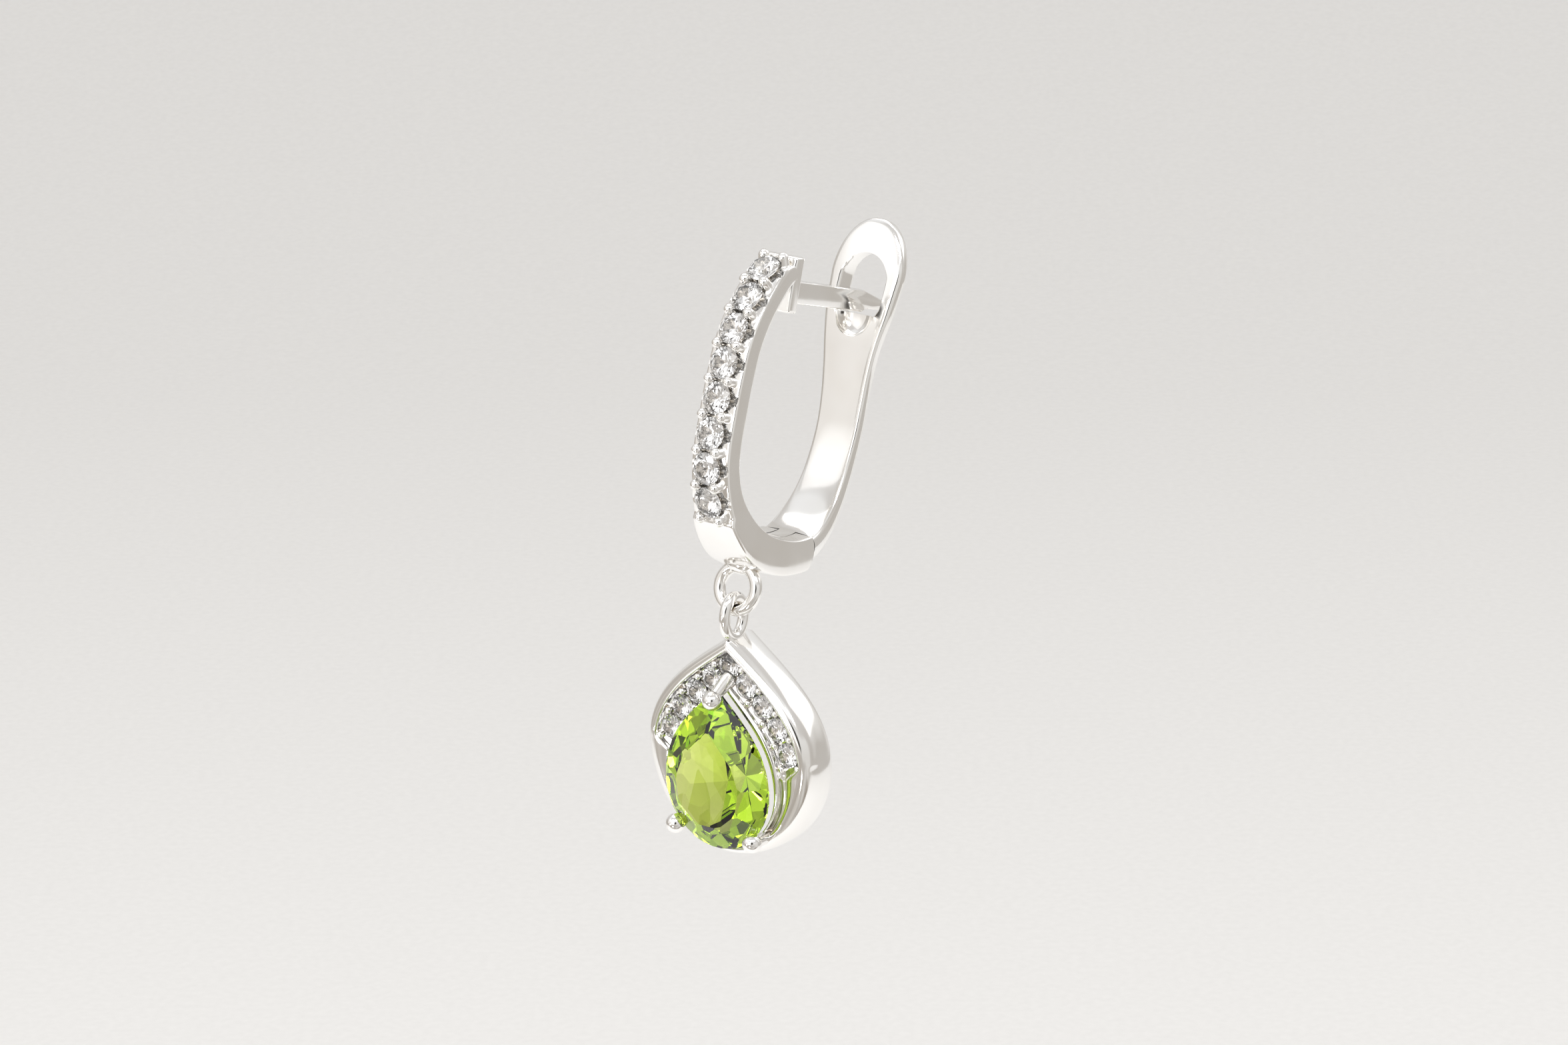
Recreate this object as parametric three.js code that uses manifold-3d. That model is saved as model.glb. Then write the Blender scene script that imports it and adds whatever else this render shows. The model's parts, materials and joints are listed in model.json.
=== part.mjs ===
// Drop earring with a hinged lever back, in millimetres, +Z up.
// The origin is the middle of the ear post. The stones face -Y, the lever is at +Y.
// The front hoop is tipped back a little, and the pendant hangs plumb from its ring.
import * as THREE from 'three';
import { mergeVertices } from 'three/addons/utils/BufferGeometryUtils.js';
import { ConvexGeometry } from 'three/addons/geometries/ConvexGeometry.js';
import Module from 'manifold-3d';

const wasm = await Module();
wasm.setup();

// Hoop sizes
const HOOP_LEAN = 16 * Math.PI / 180;
const FRONT_REACH = 5.1;        // post middle to the inside of the front bar
const BACK_REACH = 2.65;        // post middle to the inside of the lever
const INNER_DROP = 10.4;        // post middle to the inner floor of the hoop
const BAR_WIDTH = 2.0;
const BAR_THICKNESS = 1.05;
const BAR_BEVEL = 0.14;
const HEAD_WIDTH = 3.7;         // oval head of the lever
const HEAD_RISE = 3.65;         // post middle to the top of the lever
const LEVER_THICKNESS = 1.0;

// Ear post and stop plate
const POST_WIRE = 0.95;
const POST_OVERHANG = 1.65;     // post tip past the inside of the lever
const POST_TAPER = 1.9;
const POST_NOTCH = 0.16;
const PLATE_THICKNESS = 0.6;
const PLATE_INSET = 1.6;        // front bar's inside to the plate's front
const PLATE_RISE = 1.54;
const PLATE_DROP = 0.88;

// Slot in the lever's head
const SLOT_WIDTH = 2.3;
const SLOT_RISE = 2.05;
const SLOT_GAP = 0.12;          // slot's lower lip to the post's underside
const SCOOP_DROP = 1.0;

// Hinge
const HINGE_BACK = -0.55;
const HINGE_SINK = 0.58;        // hinge axis below the inner floor
const SEAM_RADIUS = 1.26;
const TONGUE_RADIUS = 0.7;
const TONGUE_WIDTH = 0.85;
const PIN_RADIUS = 0.32;
const PIN_LENGTH = 2.6;
const HINGE_GAP = 0.06;

// Round stones
const BAR_STONES = 8;
const BAR_STONE = 1.4;
const BAR_STONE_GAP = 0.075;
const FIRST_STONE = 1.0;        // top end of the bar's face to the first stone's middle
const HALO_STONES_A_SIDE = 4;
const HALO_STONE = 1.1;
const HALO_STONE_GAP = 0.06;
const SEAT_GAP = 0.04;
const BAR_BEAD = 0.21;
const BAR_BEAD_RISE = 0.34;
const HALO_BEAD = 0.15;
const HALO_BEAD_RISE = 0.26;

// Rings that join the two halves
const RING_WIRE = 0.55;
const RING_WIDTH = 2.45;
const RING_BACK = -2.4;
const RING_SOLDER = 0.36;       // ring's top above the underside of the bar
const LOOP_WIRE = 0.5;
const LOOP_HEIGHT = 2.25;
const LOOP_DEPTH = 1.8;
const LINK_GAP = 0.05;

// Pendant
const FRAME_WIDTH = 8.8;
const FRAME_HEIGHT = 9.8;
const FRAME_DEPTH = 2.1;
const LOOP_SOLDER = 0.4;        // loop's bottom below the frame's tip
const GEM_WIDTH = 5.5;
const GEM_HEIGHT = 7.1;
const GEM_FOOT = 0.5;           // frame's bottom to the gem's bottom
const GEM_LIFT = 0.85;          // gem's girdle in front of the halo
const RIM_LIFT = 0.32;
const COLLAR_LIFT = 0.3;
const PLUMB_SHIFT = 0.34;       // loop's middle behind the halo's face, so that the pendant hangs plumb
const CLAW_WIRE = 0.3;
const CLAW_BALL = 0.35;
const CLAW_ANGLE = 45 * Math.PI / 180;
const CLAW_OUTSET = 0.14;

// Smoothness of the faceted skins
const BAR_STEPS = 26;
const LEVER_STEPS = 22;
const HEAD_STEPS = 7;
const PEAR_STEPS = 48;
const ROUND_STEPS = 16;
const HINGE_STEPS = 48;

const X = new THREE.Vector3(1, 0, 0);
const Y = new THREE.Vector3(0, 1, 0);
const FORWARD = new THREE.Vector3(0, -1, 0);

const silver = new THREE.MeshStandardMaterial({ color: 0xeceae6, roughness: 0.12, metalness: 1 });
const whiteStone = new THREE.MeshStandardMaterial({ color: 0xf6f8fc, roughness: 0.03, metalness: 0 });
const greenStone = new THREE.MeshStandardMaterial({ color: 0x9ccb1c, roughness: 0.03, metalness: 0 });

// Solids

function toSolid(geometry) {
  const plain = geometry.clone();
  plain.deleteAttribute('normal');
  plain.deleteAttribute('uv');
  const merged = mergeVertices(plain, 1e-5);
  return new wasm.Manifold(new wasm.Mesh({
    numProp: 3,
    vertProperties: merged.attributes.position.array,
    triVerts: Uint32Array.from(merged.index.array),
  }));
}

function toGeometry(solid) {
  const mesh = solid.getMesh();
  const geometry = new THREE.BufferGeometry();
  geometry.setAttribute('position', new THREE.BufferAttribute(mesh.vertProperties, 3));
  geometry.setIndex(new THREE.BufferAttribute(mesh.triVerts, 1));
  geometry.computeVertexNormals();
  return geometry;
}

function namedMesh(name, geometry, material) {
  const mesh = new THREE.Mesh(geometry, material);
  mesh.name = name;
  return mesh;
}

// Joins rings of equal length into one closed skin. Open stacks get a fan on each end.
function skin(rings, loop = false) {
  const count = rings[0].length;
  const points = rings.flat();
  const faces = [];
  const spans = loop ? rings.length : rings.length - 1;
  for (let i = 0; i < spans; i++) {
    const here = i * count;
    const next = ((i + 1) % rings.length) * count;
    for (let k = 0; k < count; k++) {
      const after = (k + 1) % count;
      faces.push(here + k, next + after, next + k);
      faces.push(here + k, here + after, next + after);
    }
  }
  if (!loop) {
    const last = (rings.length - 1) * count;
    for (let k = 1; k < count - 1; k++) {
      faces.push(0, k + 1, k);
      faces.push(last, last + k, last + k + 1);
    }
  }
  let volume = 0;
  for (let f = 0; f < faces.length; f += 3) {
    const [a, b, c] = [points[faces[f]], points[faces[f + 1]], points[faces[f + 2]]];
    volume += a.dot(new THREE.Vector3().crossVectors(b, c));
  }
  const geometry = new THREE.BufferGeometry().setFromPoints(points);
  geometry.setIndex(volume > 0 ? faces : faces.reverse());
  return geometry;
}

function box(width, yFrom, yTo, zFrom, zTo) {
  const shape = new THREE.BoxGeometry(width, yTo - yFrom, zTo - zFrom);
  return toSolid(shape.translate(0, (yFrom + yTo) / 2, (zFrom + zTo) / 2));
}

// A cylinder along X
function crossPin(radius, length, y, z, steps = HINGE_STEPS) {
  const shape = new THREE.CylinderGeometry(radius, radius, length, steps);
  return toSolid(shape.rotateZ(Math.PI / 2).translate(0, y, z));
}

// A short post with a domed end, standing at a point along a direction
function domedPost(radius, height, at, along) {
  const profile = [
    new THREE.Vector2(0, 0),
    new THREE.Vector2(radius, 0),
    new THREE.Vector2(radius, height - 0.55 * radius),
    new THREE.Vector2(0.72 * radius, height - 0.15 * radius),
    new THREE.Vector2(0, height),
  ];
  const shape = new THREE.LatheGeometry(profile, 8);
  const turn = new THREE.Quaternion().setFromUnitVectors(Y, along);
  return toSolid(shape.applyQuaternion(turn).translate(at.x, at.y, at.z));
}

// A closed wire ring round an oval in the plane of two directions
function wireRing(wire, across, radiusAcross, up, radiusUp, steps = 20, sides = 8) {
  const side = new THREE.Vector3().crossVectors(across, up);
  const rings = [];
  for (let i = 0; i < steps; i++) {
    const turn = i / steps * 2 * Math.PI;
    const middle = across.clone().multiplyScalar(radiusAcross * Math.cos(turn));
    middle.addScaledVector(up, radiusUp * Math.sin(turn));
    const outward = across.clone().multiplyScalar(radiusUp * Math.cos(turn));
    outward.addScaledVector(up, radiusAcross * Math.sin(turn)).normalize();
    const ring = [];
    for (let k = 0; k < sides; k++) {
      const angle = k / sides * 2 * Math.PI;
      const point = middle.clone().addScaledVector(outward, wire / 2 * Math.cos(angle));
      ring.push(point.addScaledVector(side, wire / 2 * Math.sin(angle)));
    }
    rings.push(ring);
  }
  return skin(rings, true);
}

// Stones

// Round brilliant: the table faces +Y and the girdle is at y = 0. All shares are of its diameter.
const BRILLIANT = [
  { rise: 0.15, radius: 0.28, corners: 8, turn: 0.5 },
  { rise: 0.105, radius: 0.38, corners: 8, turn: 0 },
  { rise: 0.02, radius: 0.5, corners: ROUND_STEPS, turn: 0 },
  { rise: -0.02, radius: 0.5, corners: ROUND_STEPS, turn: 0 },
  { rise: -0.3, radius: 0.2, corners: 8, turn: 0.5 },
];
const CULET_SHARE = 0.45;

function roundGem(diameter) {
  const points = [new THREE.Vector3(0, -CULET_SHARE * diameter, 0)];
  for (const row of BRILLIANT) {
    for (let k = 0; k < row.corners; k++) {
      const angle = (k + row.turn) / row.corners * 2 * Math.PI;
      const radius = row.radius * diameter;
      points.push(new THREE.Vector3(radius * Math.cos(angle), row.rise * diameter, radius * Math.sin(angle)));
    }
  }
  return new ConvexGeometry(points);
}

// Pear outline: a half ellipse below the widest line and a pointed arch above it.
// The first point is the tip, and the widest line is at z = 0.
function pearOutline(width, height, footShare, count) {
  const half = width / 2;
  const foot = footShare * height;
  const arch = height - foot;
  const path = new THREE.Path();
  path.moveTo(0, arch);
  path.bezierCurveTo(0.44 * half, 0.74 * arch, half, 0.48 * arch, half, 0);
  path.absellipse(0, 0, half, foot, 0, -Math.PI, true);
  path.bezierCurveTo(-half, 0.48 * arch, -0.44 * half, 0.74 * arch, 0, arch);
  return path.getSpacedPoints(count).slice(0, count);
}

const GEM_TABLE = { share: 0.56, rise: 0.75 };
const GEM_CROWN = { share: 0.8, rise: 0.44 };
const GEM_GIRDLE = 0.05;
const GEM_PAVILION = { share: 0.6, rise: -1.25 };
const GEM_CULET = -1.95;
const GEM_FOOT_SHARE = 0.39;

// Pear stone: the table faces -Y and the girdle is at y = 0
function pearGem(width, height) {
  const size = width / GEM_WIDTH;
  const points = [new THREE.Vector3(0, -GEM_CULET * size, 0)];
  const addRing = (share, rise, count) => {
    for (const corner of pearOutline(width * share, height * share, GEM_FOOT_SHARE, count)) {
      points.push(new THREE.Vector3(corner.x, -rise * size, corner.y));
    }
  };
  addRing(GEM_TABLE.share, GEM_TABLE.rise, 10);
  addRing(GEM_CROWN.share, GEM_CROWN.rise, 10);
  addRing(1, GEM_GIRDLE, 30);
  addRing(1, -GEM_GIRDLE, 30);
  addRing(GEM_PAVILION.share, GEM_PAVILION.rise, 10);
  return new ConvexGeometry(points);
}

// Hoop

// Sections of the front bar from the stop plate round to the hinge. reach is a share of FRONT_REACH,
// drop of INNER_DROP, thick of BAR_THICKNESS and wide of BAR_WIDTH.
const BAR_SECTIONS = [
  { reach: 0.62, drop: -0.045, thick: 0.9, wide: 1.0 },
  { reach: 0.68, drop: -0.03, thick: 1.0, wide: 1.0 },
  { reach: 0.775, drop: 0.034, thick: 1.0, wide: 1.0 },
  { reach: 0.882, drop: 0.13, thick: 1.0, wide: 1.0 },
  { reach: 0.96, drop: 0.245, thick: 1.0, wide: 1.0 },
  { reach: 0.99, drop: 0.375, thick: 1.0, wide: 1.0 },
  { reach: 1.0, drop: 0.519, thick: 1.0, wide: 1.0 },
  { reach: 1.0, drop: 0.654, thick: 1.0, wide: 1.0 },
  { reach: 0.968, drop: 0.75, thick: 1.0, wide: 1.02 },
  { reach: 0.873, drop: 0.846, thick: 1.08, wide: 1.08 },
  { reach: 0.706, drop: 0.928, thick: 1.3, wide: 1.2 },
  { reach: 0.51, drop: 0.98, thick: 1.48, wide: 1.32 },
  { reach: 0.275, drop: 1.0, thick: 1.52, wide: 1.38 },
  { reach: 0.06, drop: 0.996, thick: 1.45, wide: 1.4 },
  { reach: -0.18, drop: 0.965, thick: 1.4, wide: 1.38 },
];

// Sections of the lever from the hinge up to the middle of its head. reach is a share of BACK_REACH,
// drop of INNER_DROP, thick of LEVER_THICKNESS and wide of HEAD_WIDTH.
const LEVER_SECTIONS = [
  { reach: -0.4, drop: 1.0, thick: 1.52, wide: 0.75 },
  { reach: -0.1, drop: 0.996, thick: 1.52, wide: 0.755 },
  { reach: 0.2, drop: 0.972, thick: 1.48, wide: 0.75 },
  { reach: 0.43, drop: 0.925, thick: 1.38, wide: 0.72 },
  { reach: 0.66, drop: 0.845, thick: 1.2, wide: 0.67 },
  { reach: 0.83, drop: 0.75, thick: 1.05, wide: 0.63 },
  { reach: 0.94, drop: 0.64, thick: 0.95, wide: 0.61 },
  { reach: 1.0, drop: 0.53, thick: 0.92, wide: 0.61 },
  { reach: 1.0, drop: 0.42, thick: 0.92, wide: 0.63 },
  { reach: 0.97, drop: 0.29, thick: 0.95, wide: 0.69 },
  { reach: 0.95, drop: 0.17, thick: 1.0, wide: 0.79 },
  { reach: 0.98, drop: 0.04, thick: 1.08, wide: 0.92 },
  { reach: 1.05, drop: -0.11, thick: 1.12, wide: 1.0 },
];

// Corners of a bar's section on one side, from its inner face outwards, as shares of half the width
// and of the thickness
const LEVER_CORNERS = [[0.9, 0], [1, 0.22], [0.98, 0.58], [0.72, 0.9], [0.3, 1]];

function barCorners(halfWidth, thickness) {
  return [
    [halfWidth - BAR_BEVEL / 2, 0],
    [halfWidth, BAR_BEVEL / 2],
    [halfWidth, thickness - BAR_BEVEL],
    [halfWidth - BAR_BEVEL, thickness],
  ];
}

function leverCorners(halfWidth, thickness) {
  return LEVER_CORNERS.map(([wide, deep]) => [wide * halfWidth, deep * thickness]);
}

// Turns the corners of one side into a whole ring across the bar
function sectionRing(inner, outward, corners) {
  const place = ([wide, deep], side) => new THREE.Vector3(
    side * wide, inner.y + deep * outward.y, inner.z + deep * outward.z);
  const right = corners.map(corner => place(corner, 1));
  const left = corners.map(corner => place(corner, -1));
  return [...right, ...left.reverse()];
}

function outwardAt(route, share) {
  const along = route.getTangent(share);
  return new THREE.Vector3(0, along.z, -along.y).normalize();
}

// The smooth run of a table of sections: where it goes and how wide and thick it is there
function sectionRun(table, reach, thickness, width) {
  const inner = table.map(row => new THREE.Vector3(0, row.reach * reach, -row.drop * INNER_DROP));
  const size = table.map(row => new THREE.Vector3(row.wide * width, row.thick * thickness, 0));
  return {
    route: new THREE.CatmullRomCurve3(inner, false, 'centripetal'),
    size: new THREE.CatmullRomCurve3(size, false, 'catmullrom', 0.5),
  };
}

const barRun = sectionRun(BAR_SECTIONS, -FRONT_REACH, BAR_THICKNESS, BAR_WIDTH);
const leverRun = sectionRun(LEVER_SECTIONS, BACK_REACH, LEVER_THICKNESS, HEAD_WIDTH);

const hinge = { y: HINGE_BACK, z: -INNER_DROP - HINGE_SINK };
const plateFront = -FRONT_REACH + PLATE_INSET;
const plateBack = plateFront + PLATE_THICKNESS;
const barRows = BAR_SECTIONS.length - 1;

function barSkin() {
  const rings = [];
  for (let i = 0; i <= BAR_STEPS; i++) {
    const share = i / BAR_STEPS;
    const size = barRun.size.getPoint(share);
    const corners = barCorners(size.x / 2, size.y);
    rings.push(sectionRing(barRun.route.getPoint(share), outwardAt(barRun.route, share), corners));
  }
  return skin(rings);
}

// The lever's skin follows its table to the middle of the head, then closes as a quarter of an oval
function leverSkin() {
  const rings = [];
  for (let i = 0; i < LEVER_STEPS; i++) {
    const share = i / LEVER_STEPS;
    const size = leverRun.size.getPoint(share);
    const corners = leverCorners(size.x / 2, size.y);
    rings.push(sectionRing(leverRun.route.getPoint(share), outwardAt(leverRun.route, share), corners));
  }
  const headMiddle = leverRun.route.getPoint(1);
  const headAlong = leverRun.route.getTangent(1);
  const headOut = outwardAt(leverRun.route, 1);
  const headSize = leverRun.size.getPoint(1);
  const headLength = (HEAD_RISE - headMiddle.z) / headAlong.z;
  for (let i = 0; i <= HEAD_STEPS; i++) {
    const turn = i / HEAD_STEPS * 0.485 * Math.PI;
    const inner = headMiddle.clone().addScaledVector(headAlong, headLength * Math.sin(turn));
    const thickness = headSize.y * (0.55 + 0.45 * Math.cos(turn));
    const dip = (headSize.y - thickness) / 3;
    inner.addScaledVector(headOut, dip);
    rings.push(sectionRing(inner, headOut, leverCorners(headSize.x / 2 * Math.cos(turn), thickness)));
  }
  return skin(rings);
}

// Middles and outward directions of the stones in the front bar, on its outer face
function barStonePlaces() {
  const face = [];
  for (let i = 0; i <= 4 * barRows; i++) {
    const share = i / (4 * barRows);
    const outward = outwardAt(barRun.route, share);
    const point = barRun.route.getPoint(share);
    face.push(point.addScaledVector(outward, barRun.size.getPoint(share).y));
  }
  const faceRoute = new THREE.CatmullRomCurve3(face);
  faceRoute.arcLengthDivisions = 800;
  const length = faceRoute.getLength();
  const at = distance => {
    const along = faceRoute.getTangentAt(distance / length);
    return {
      point: faceRoute.getPointAt(distance / length),
      outward: new THREE.Vector3(0, along.z, -along.y).normalize(),
    };
  };
  const pitch = BAR_STONE + BAR_STONE_GAP;
  const stones = [];
  const beads = [];
  for (let i = 0; i < BAR_STONES; i++) {
    stones.push(at(FIRST_STONE + i * pitch));
  }
  for (let i = 0; i <= BAR_STONES; i++) {
    beads.push(at(FIRST_STONE + (i - 0.5) * pitch));
  }
  return { stones, beads };
}

function gemAt(geometry, place) {
  const turn = new THREE.Quaternion().setFromUnitVectors(Y, place.outward);
  return geometry.applyQuaternion(turn).translate(place.point.x, place.point.y, place.point.z);
}

const barPlaces = barStonePlaces();
const ringRadius = (RING_WIDTH - RING_WIRE) / 2;

// The underside of the bar straight below a place on the Y axis
function barUnderside(y) {
  let lowest = 0;
  for (let i = 0; i <= 400; i++) {
    const share = i / 400;
    const outward = outwardAt(barRun.route, share);
    const point = barRun.route.getPoint(share).addScaledVector(outward, barRun.size.getPoint(share).y);
    if (Math.abs(point.y - y) < 0.05) {
      lowest = Math.min(lowest, point.z);
    }
  }
  return lowest;
}

const ringMiddle = barUnderside(RING_BACK) + RING_SOLDER - RING_WIDTH / 2;

function postSolid() {
  const half = POST_WIRE / 2;
  const tip = BACK_REACH + POST_OVERHANG;
  const side = new THREE.Shape();
  side.moveTo(plateFront, -half);
  side.lineTo(BACK_REACH - POST_NOTCH, -half);
  side.lineTo(BACK_REACH + POST_NOTCH, -half + POST_NOTCH);
  side.lineTo(BACK_REACH + LEVER_THICKNESS, -half + POST_NOTCH);
  side.lineTo(tip, -half + 2 * POST_NOTCH);
  side.lineTo(tip, 0.1 * half);
  side.lineTo(tip - POST_TAPER, half);
  side.lineTo(plateFront, half);
  const geometry = new THREE.ExtrudeGeometry(side, { depth: POST_WIRE, bevelEnabled: false });
  const upright = new THREE.Matrix4().makeBasis(Y, new THREE.Vector3(0, 0, 1), X);
  return toSolid(geometry.translate(0, 0, -half).applyMatrix4(upright));
}

function plateSolid() {
  const round = PLATE_THICKNESS / 3;
  const side = new THREE.Shape();
  side.moveTo(plateFront, -PLATE_DROP + round);
  side.lineTo(plateFront + round, -PLATE_DROP);
  side.lineTo(plateBack - round, -PLATE_DROP);
  side.lineTo(plateBack, -PLATE_DROP + round);
  side.lineTo(plateBack, PLATE_RISE - round);
  side.lineTo(plateBack - round, PLATE_RISE);
  side.lineTo(plateFront, PLATE_RISE);
  const geometry = new THREE.ExtrudeGeometry(side, { depth: BAR_WIDTH, bevelEnabled: false });
  const upright = new THREE.Matrix4().makeBasis(Y, new THREE.Vector3(0, 0, 1), X);
  return toSolid(geometry.translate(0, 0, -BAR_WIDTH / 2).applyMatrix4(upright));
}

const WIDE = 4 * BAR_WIDTH;
const FAR = 2 * INNER_DROP;

function frontHoop() {
  const pastSeam = box(WIDE, hinge.y, FAR, -FAR, hinge.z + 2 * SEAM_RADIUS)
    .subtract(crossPin(SEAM_RADIUS, WIDE, hinge.y, hinge.z));
  const slotFront = hinge.y - TONGUE_RADIUS - HINGE_GAP;
  const tongueSlot = box(TONGUE_WIDTH + 2 * HINGE_GAP, slotFront, FAR, -FAR, hinge.z + 2 * SEAM_RADIUS);
  let metal = toSolid(barSkin()).subtract(pastSeam).subtract(tongueSlot);
  metal = metal.subtract(crossPin(PIN_RADIUS + SEAT_GAP, WIDE, hinge.y, hinge.z, ROUND_STEPS));
  const scallop = 0.42 * BAR_STONE;
  for (const { point, outward } of barPlaces.stones) {
    const middle = point.clone().addScaledVector(outward, 0.1 * BAR_STONE);
    metal = metal.subtract(crossPin(scallop, WIDE, middle.y, middle.z, ROUND_STEPS));
  }
  const beadSpread = 0.36 * BAR_STONE;
  for (const { point, outward } of barPlaces.beads) {
    for (const side of [-1, 1]) {
      const foot = point.clone().addScaledVector(outward, -BAR_BEAD_RISE);
      foot.x = side * beadSpread;
      metal = metal.add(domedPost(BAR_BEAD, 2 * BAR_BEAD_RISE, foot, outward));
    }
  }
  for (const place of barPlaces.stones) {
    metal = metal.subtract(toSolid(gemAt(roundGem(BAR_STONE + 2 * SEAT_GAP), place)));
  }
  const ring = wireRing(RING_WIRE, X, ringRadius, new THREE.Vector3(0, 0, 1), ringRadius);
  metal = metal.add(toSolid(ring.translate(0, RING_BACK, ringMiddle)));
  return metal.add(plateSolid()).add(postSolid());
}

function leverSolid() {
  const whole = toSolid(leverSkin());
  const cutRadius = SEAM_RADIUS + HINGE_GAP;
  const beforeSeam = box(WIDE, -FAR, hinge.y, -FAR, FAR).add(crossPin(cutRadius, WIDE, hinge.y, hinge.z));
  const tongueBand = box(TONGUE_WIDTH, hinge.y, hinge.y + cutRadius + 2 * HINGE_GAP, -FAR, FAR);
  const disc = crossPin(TONGUE_RADIUS, TONGUE_WIDTH, hinge.y, hinge.z);
  const tongue = whole.intersect(tongueBand).add(disc);
  let metal = whole.subtract(beforeSeam).add(tongue);
  metal = metal.subtract(crossPin(PIN_RADIUS + SEAT_GAP, WIDE, hinge.y, hinge.z, ROUND_STEPS));
  return metal.subtract(slotSolid()).subtract(scoopSolid());
}

// Upright oval slot that the post passes through
function slotSolid() {
  const foot = -POST_WIRE / 2 - SLOT_GAP;
  const half = SLOT_WIDTH / 2;
  const shape = new THREE.Shape();
  shape.moveTo(-half * 0.8, foot);
  shape.lineTo(half * 0.8, foot);
  shape.lineTo(half, foot + 0.3 * half);
  shape.lineTo(half, SLOT_RISE - half);
  shape.absarc(0, SLOT_RISE - half, half, 0, Math.PI, false);
  shape.lineTo(-half, foot + 0.3 * half);
  const geometry = new THREE.ExtrudeGeometry(shape, { depth: FAR, bevelEnabled: false, curveSegments: 12 });
  return toSolid(geometry.rotateX(Math.PI / 2).translate(0, FAR, 0));
}

// Round hollow in the lever's inner face below the slot, where the post seats
function scoopSolid() {
  const shape = new THREE.SphereGeometry(1, 14, 10);
  const lip = -POST_WIRE / 2 - SLOT_GAP;
  shape.scale(0.42 * SLOT_WIDTH, 0.5 * LEVER_THICKNESS, SCOOP_DROP);
  return toSolid(shape.translate(0, BACK_REACH * 0.95, lip));
}

const pin = crossPin(PIN_RADIUS, PIN_LENGTH, hinge.y, hinge.z, ROUND_STEPS);

const hoop = new THREE.Group();
hoop.rotation.x = -HOOP_LEAN;
hoop.add(namedMesh('front_hoop', toGeometry(frontHoop()), silver));
hoop.add(namedMesh('lever', toGeometry(leverSolid()), silver));
hoop.add(namedMesh('hinge_pin', toGeometry(pin), silver));
barPlaces.stones.forEach((place, i) => {
  const stone = namedMesh(`hoop_stone_${i + 1}`, roundGem(BAR_STONE), whiteStone);
  stone.quaternion.setFromUnitVectors(Y, place.outward);
  stone.position.copy(place.point);
  hoop.add(stone);
});

// Pendant: its own origin is the middle of the ring's lowest wire

const FRAME_FOOT_SHARE = 0.45;
const loopTop = RING_WIRE / 2 + LINK_GAP + LOOP_WIRE;
const frameTip = loopTop - LOOP_HEIGHT + LOOP_SOLDER;
const frameWidest = frameTip - FRAME_HEIGHT * (1 - FRAME_FOOT_SHARE);
const gemWidest = frameTip - FRAME_HEIGHT + GEM_FOOT + GEM_HEIGHT * GEM_FOOT_SHARE;
const haloFace = -PLUMB_SHIFT;
const outerPear = pearOutline(FRAME_WIDTH, FRAME_HEIGHT, FRAME_FOOT_SHARE, PEAR_STEPS)
  .map(point => new THREE.Vector3(point.x, 0, point.y + frameWidest));
const innerPear = pearOutline(GEM_WIDTH, GEM_HEIGHT, GEM_FOOT_SHARE, PEAR_STEPS)
  .map(point => new THREE.Vector3(point.x, 0, point.y + gemWidest));

// Profile of the frame from the collar's inside over the halo to the rim and round the back.
// above and below are shares of the way from the gem's outline to the frame's outline, in the pave
// and under it. level names the size that the row's depth follows, and part its share of that size.
const FRAME_PROFILE = [
  { above: -0.15, below: -0.15, level: -COLLAR_LIFT, part: 1 },
  { above: 0.03, below: 0.03, level: -COLLAR_LIFT, part: 1 },
  { above: 0.05, below: 0.05, level: FRAME_DEPTH, part: 0.04 },
  { above: 0.67, below: 0.2, level: FRAME_DEPTH, part: 0.04 },
  { above: 0.69, below: 0.23, level: -RIM_LIFT, part: 0.7 },
  { above: 0.77, below: 0.45, level: -RIM_LIFT, part: 1 },
  { above: 0.91, below: 0.78, level: -RIM_LIFT, part: 0.65 },
  { above: 0.99, below: 0.96, level: FRAME_DEPTH, part: 0.1 },
  { above: 1, below: 1, level: FRAME_DEPTH, part: 0.36 },
  { above: 0.95, below: 0.95, level: FRAME_DEPTH, part: 0.72 },
  { above: 0.82, below: 0.82, level: FRAME_DEPTH, part: 0.86 },
  { above: 0.72, below: 0.72, level: FRAME_DEPTH, part: 0.84 },
  { above: 0.6, below: 0.6, level: FRAME_DEPTH, part: 0.52 },
  { above: -0.1, below: -0.1, level: FRAME_DEPTH, part: 0.46 },
];

function between(inner, outer, share) {
  return inner.clone().lerp(outer, share);
}

// The line that the halo stones' middles follow, from the tip down one side
const HALO_SHARE = 0.37;
const haloLine = [];
for (let k = 0; k <= PEAR_STEPS / 2; k++) {
  haloLine.push(between(innerPear[k], outerPear[k], HALO_SHARE));
}
const haloRoute = new THREE.CatmullRomCurve3(haloLine);
haloRoute.arcLengthDivisions = 800;
const haloPitch = HALO_STONE + HALO_STONE_GAP;

function haloPoint(steps) {
  const point = haloRoute.getPointAt(Math.abs(steps) * haloPitch / haloRoute.getLength());
  return new THREE.Vector3(Math.sign(steps) * Math.abs(point.x), haloFace, point.z);
}

const haloPlaces = [];
for (let i = -HALO_STONES_A_SIDE; i <= HALO_STONES_A_SIDE; i++) {
  haloPlaces.push({ point: haloPoint(i), outward: FORWARD });
}
const paveEnd = haloPoint(HALO_STONES_A_SIDE + 0.55).z;

function frameSkin() {
  const rings = [];
  for (let k = 0; k < PEAR_STEPS; k++) {
    const pave = THREE.MathUtils.smoothstep(between(innerPear[k], outerPear[k], 0.5).z, paveEnd - 0.35, paveEnd + 0.1);
    rings.push(FRAME_PROFILE.map(row => {
      const share = THREE.MathUtils.lerp(row.below, row.above, pave);
      const point = between(innerPear[k], outerPear[k], share);
      point.y = haloFace + row.level * row.part;
      return point;
    }));
  }
  return skin(rings, true);
}

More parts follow.
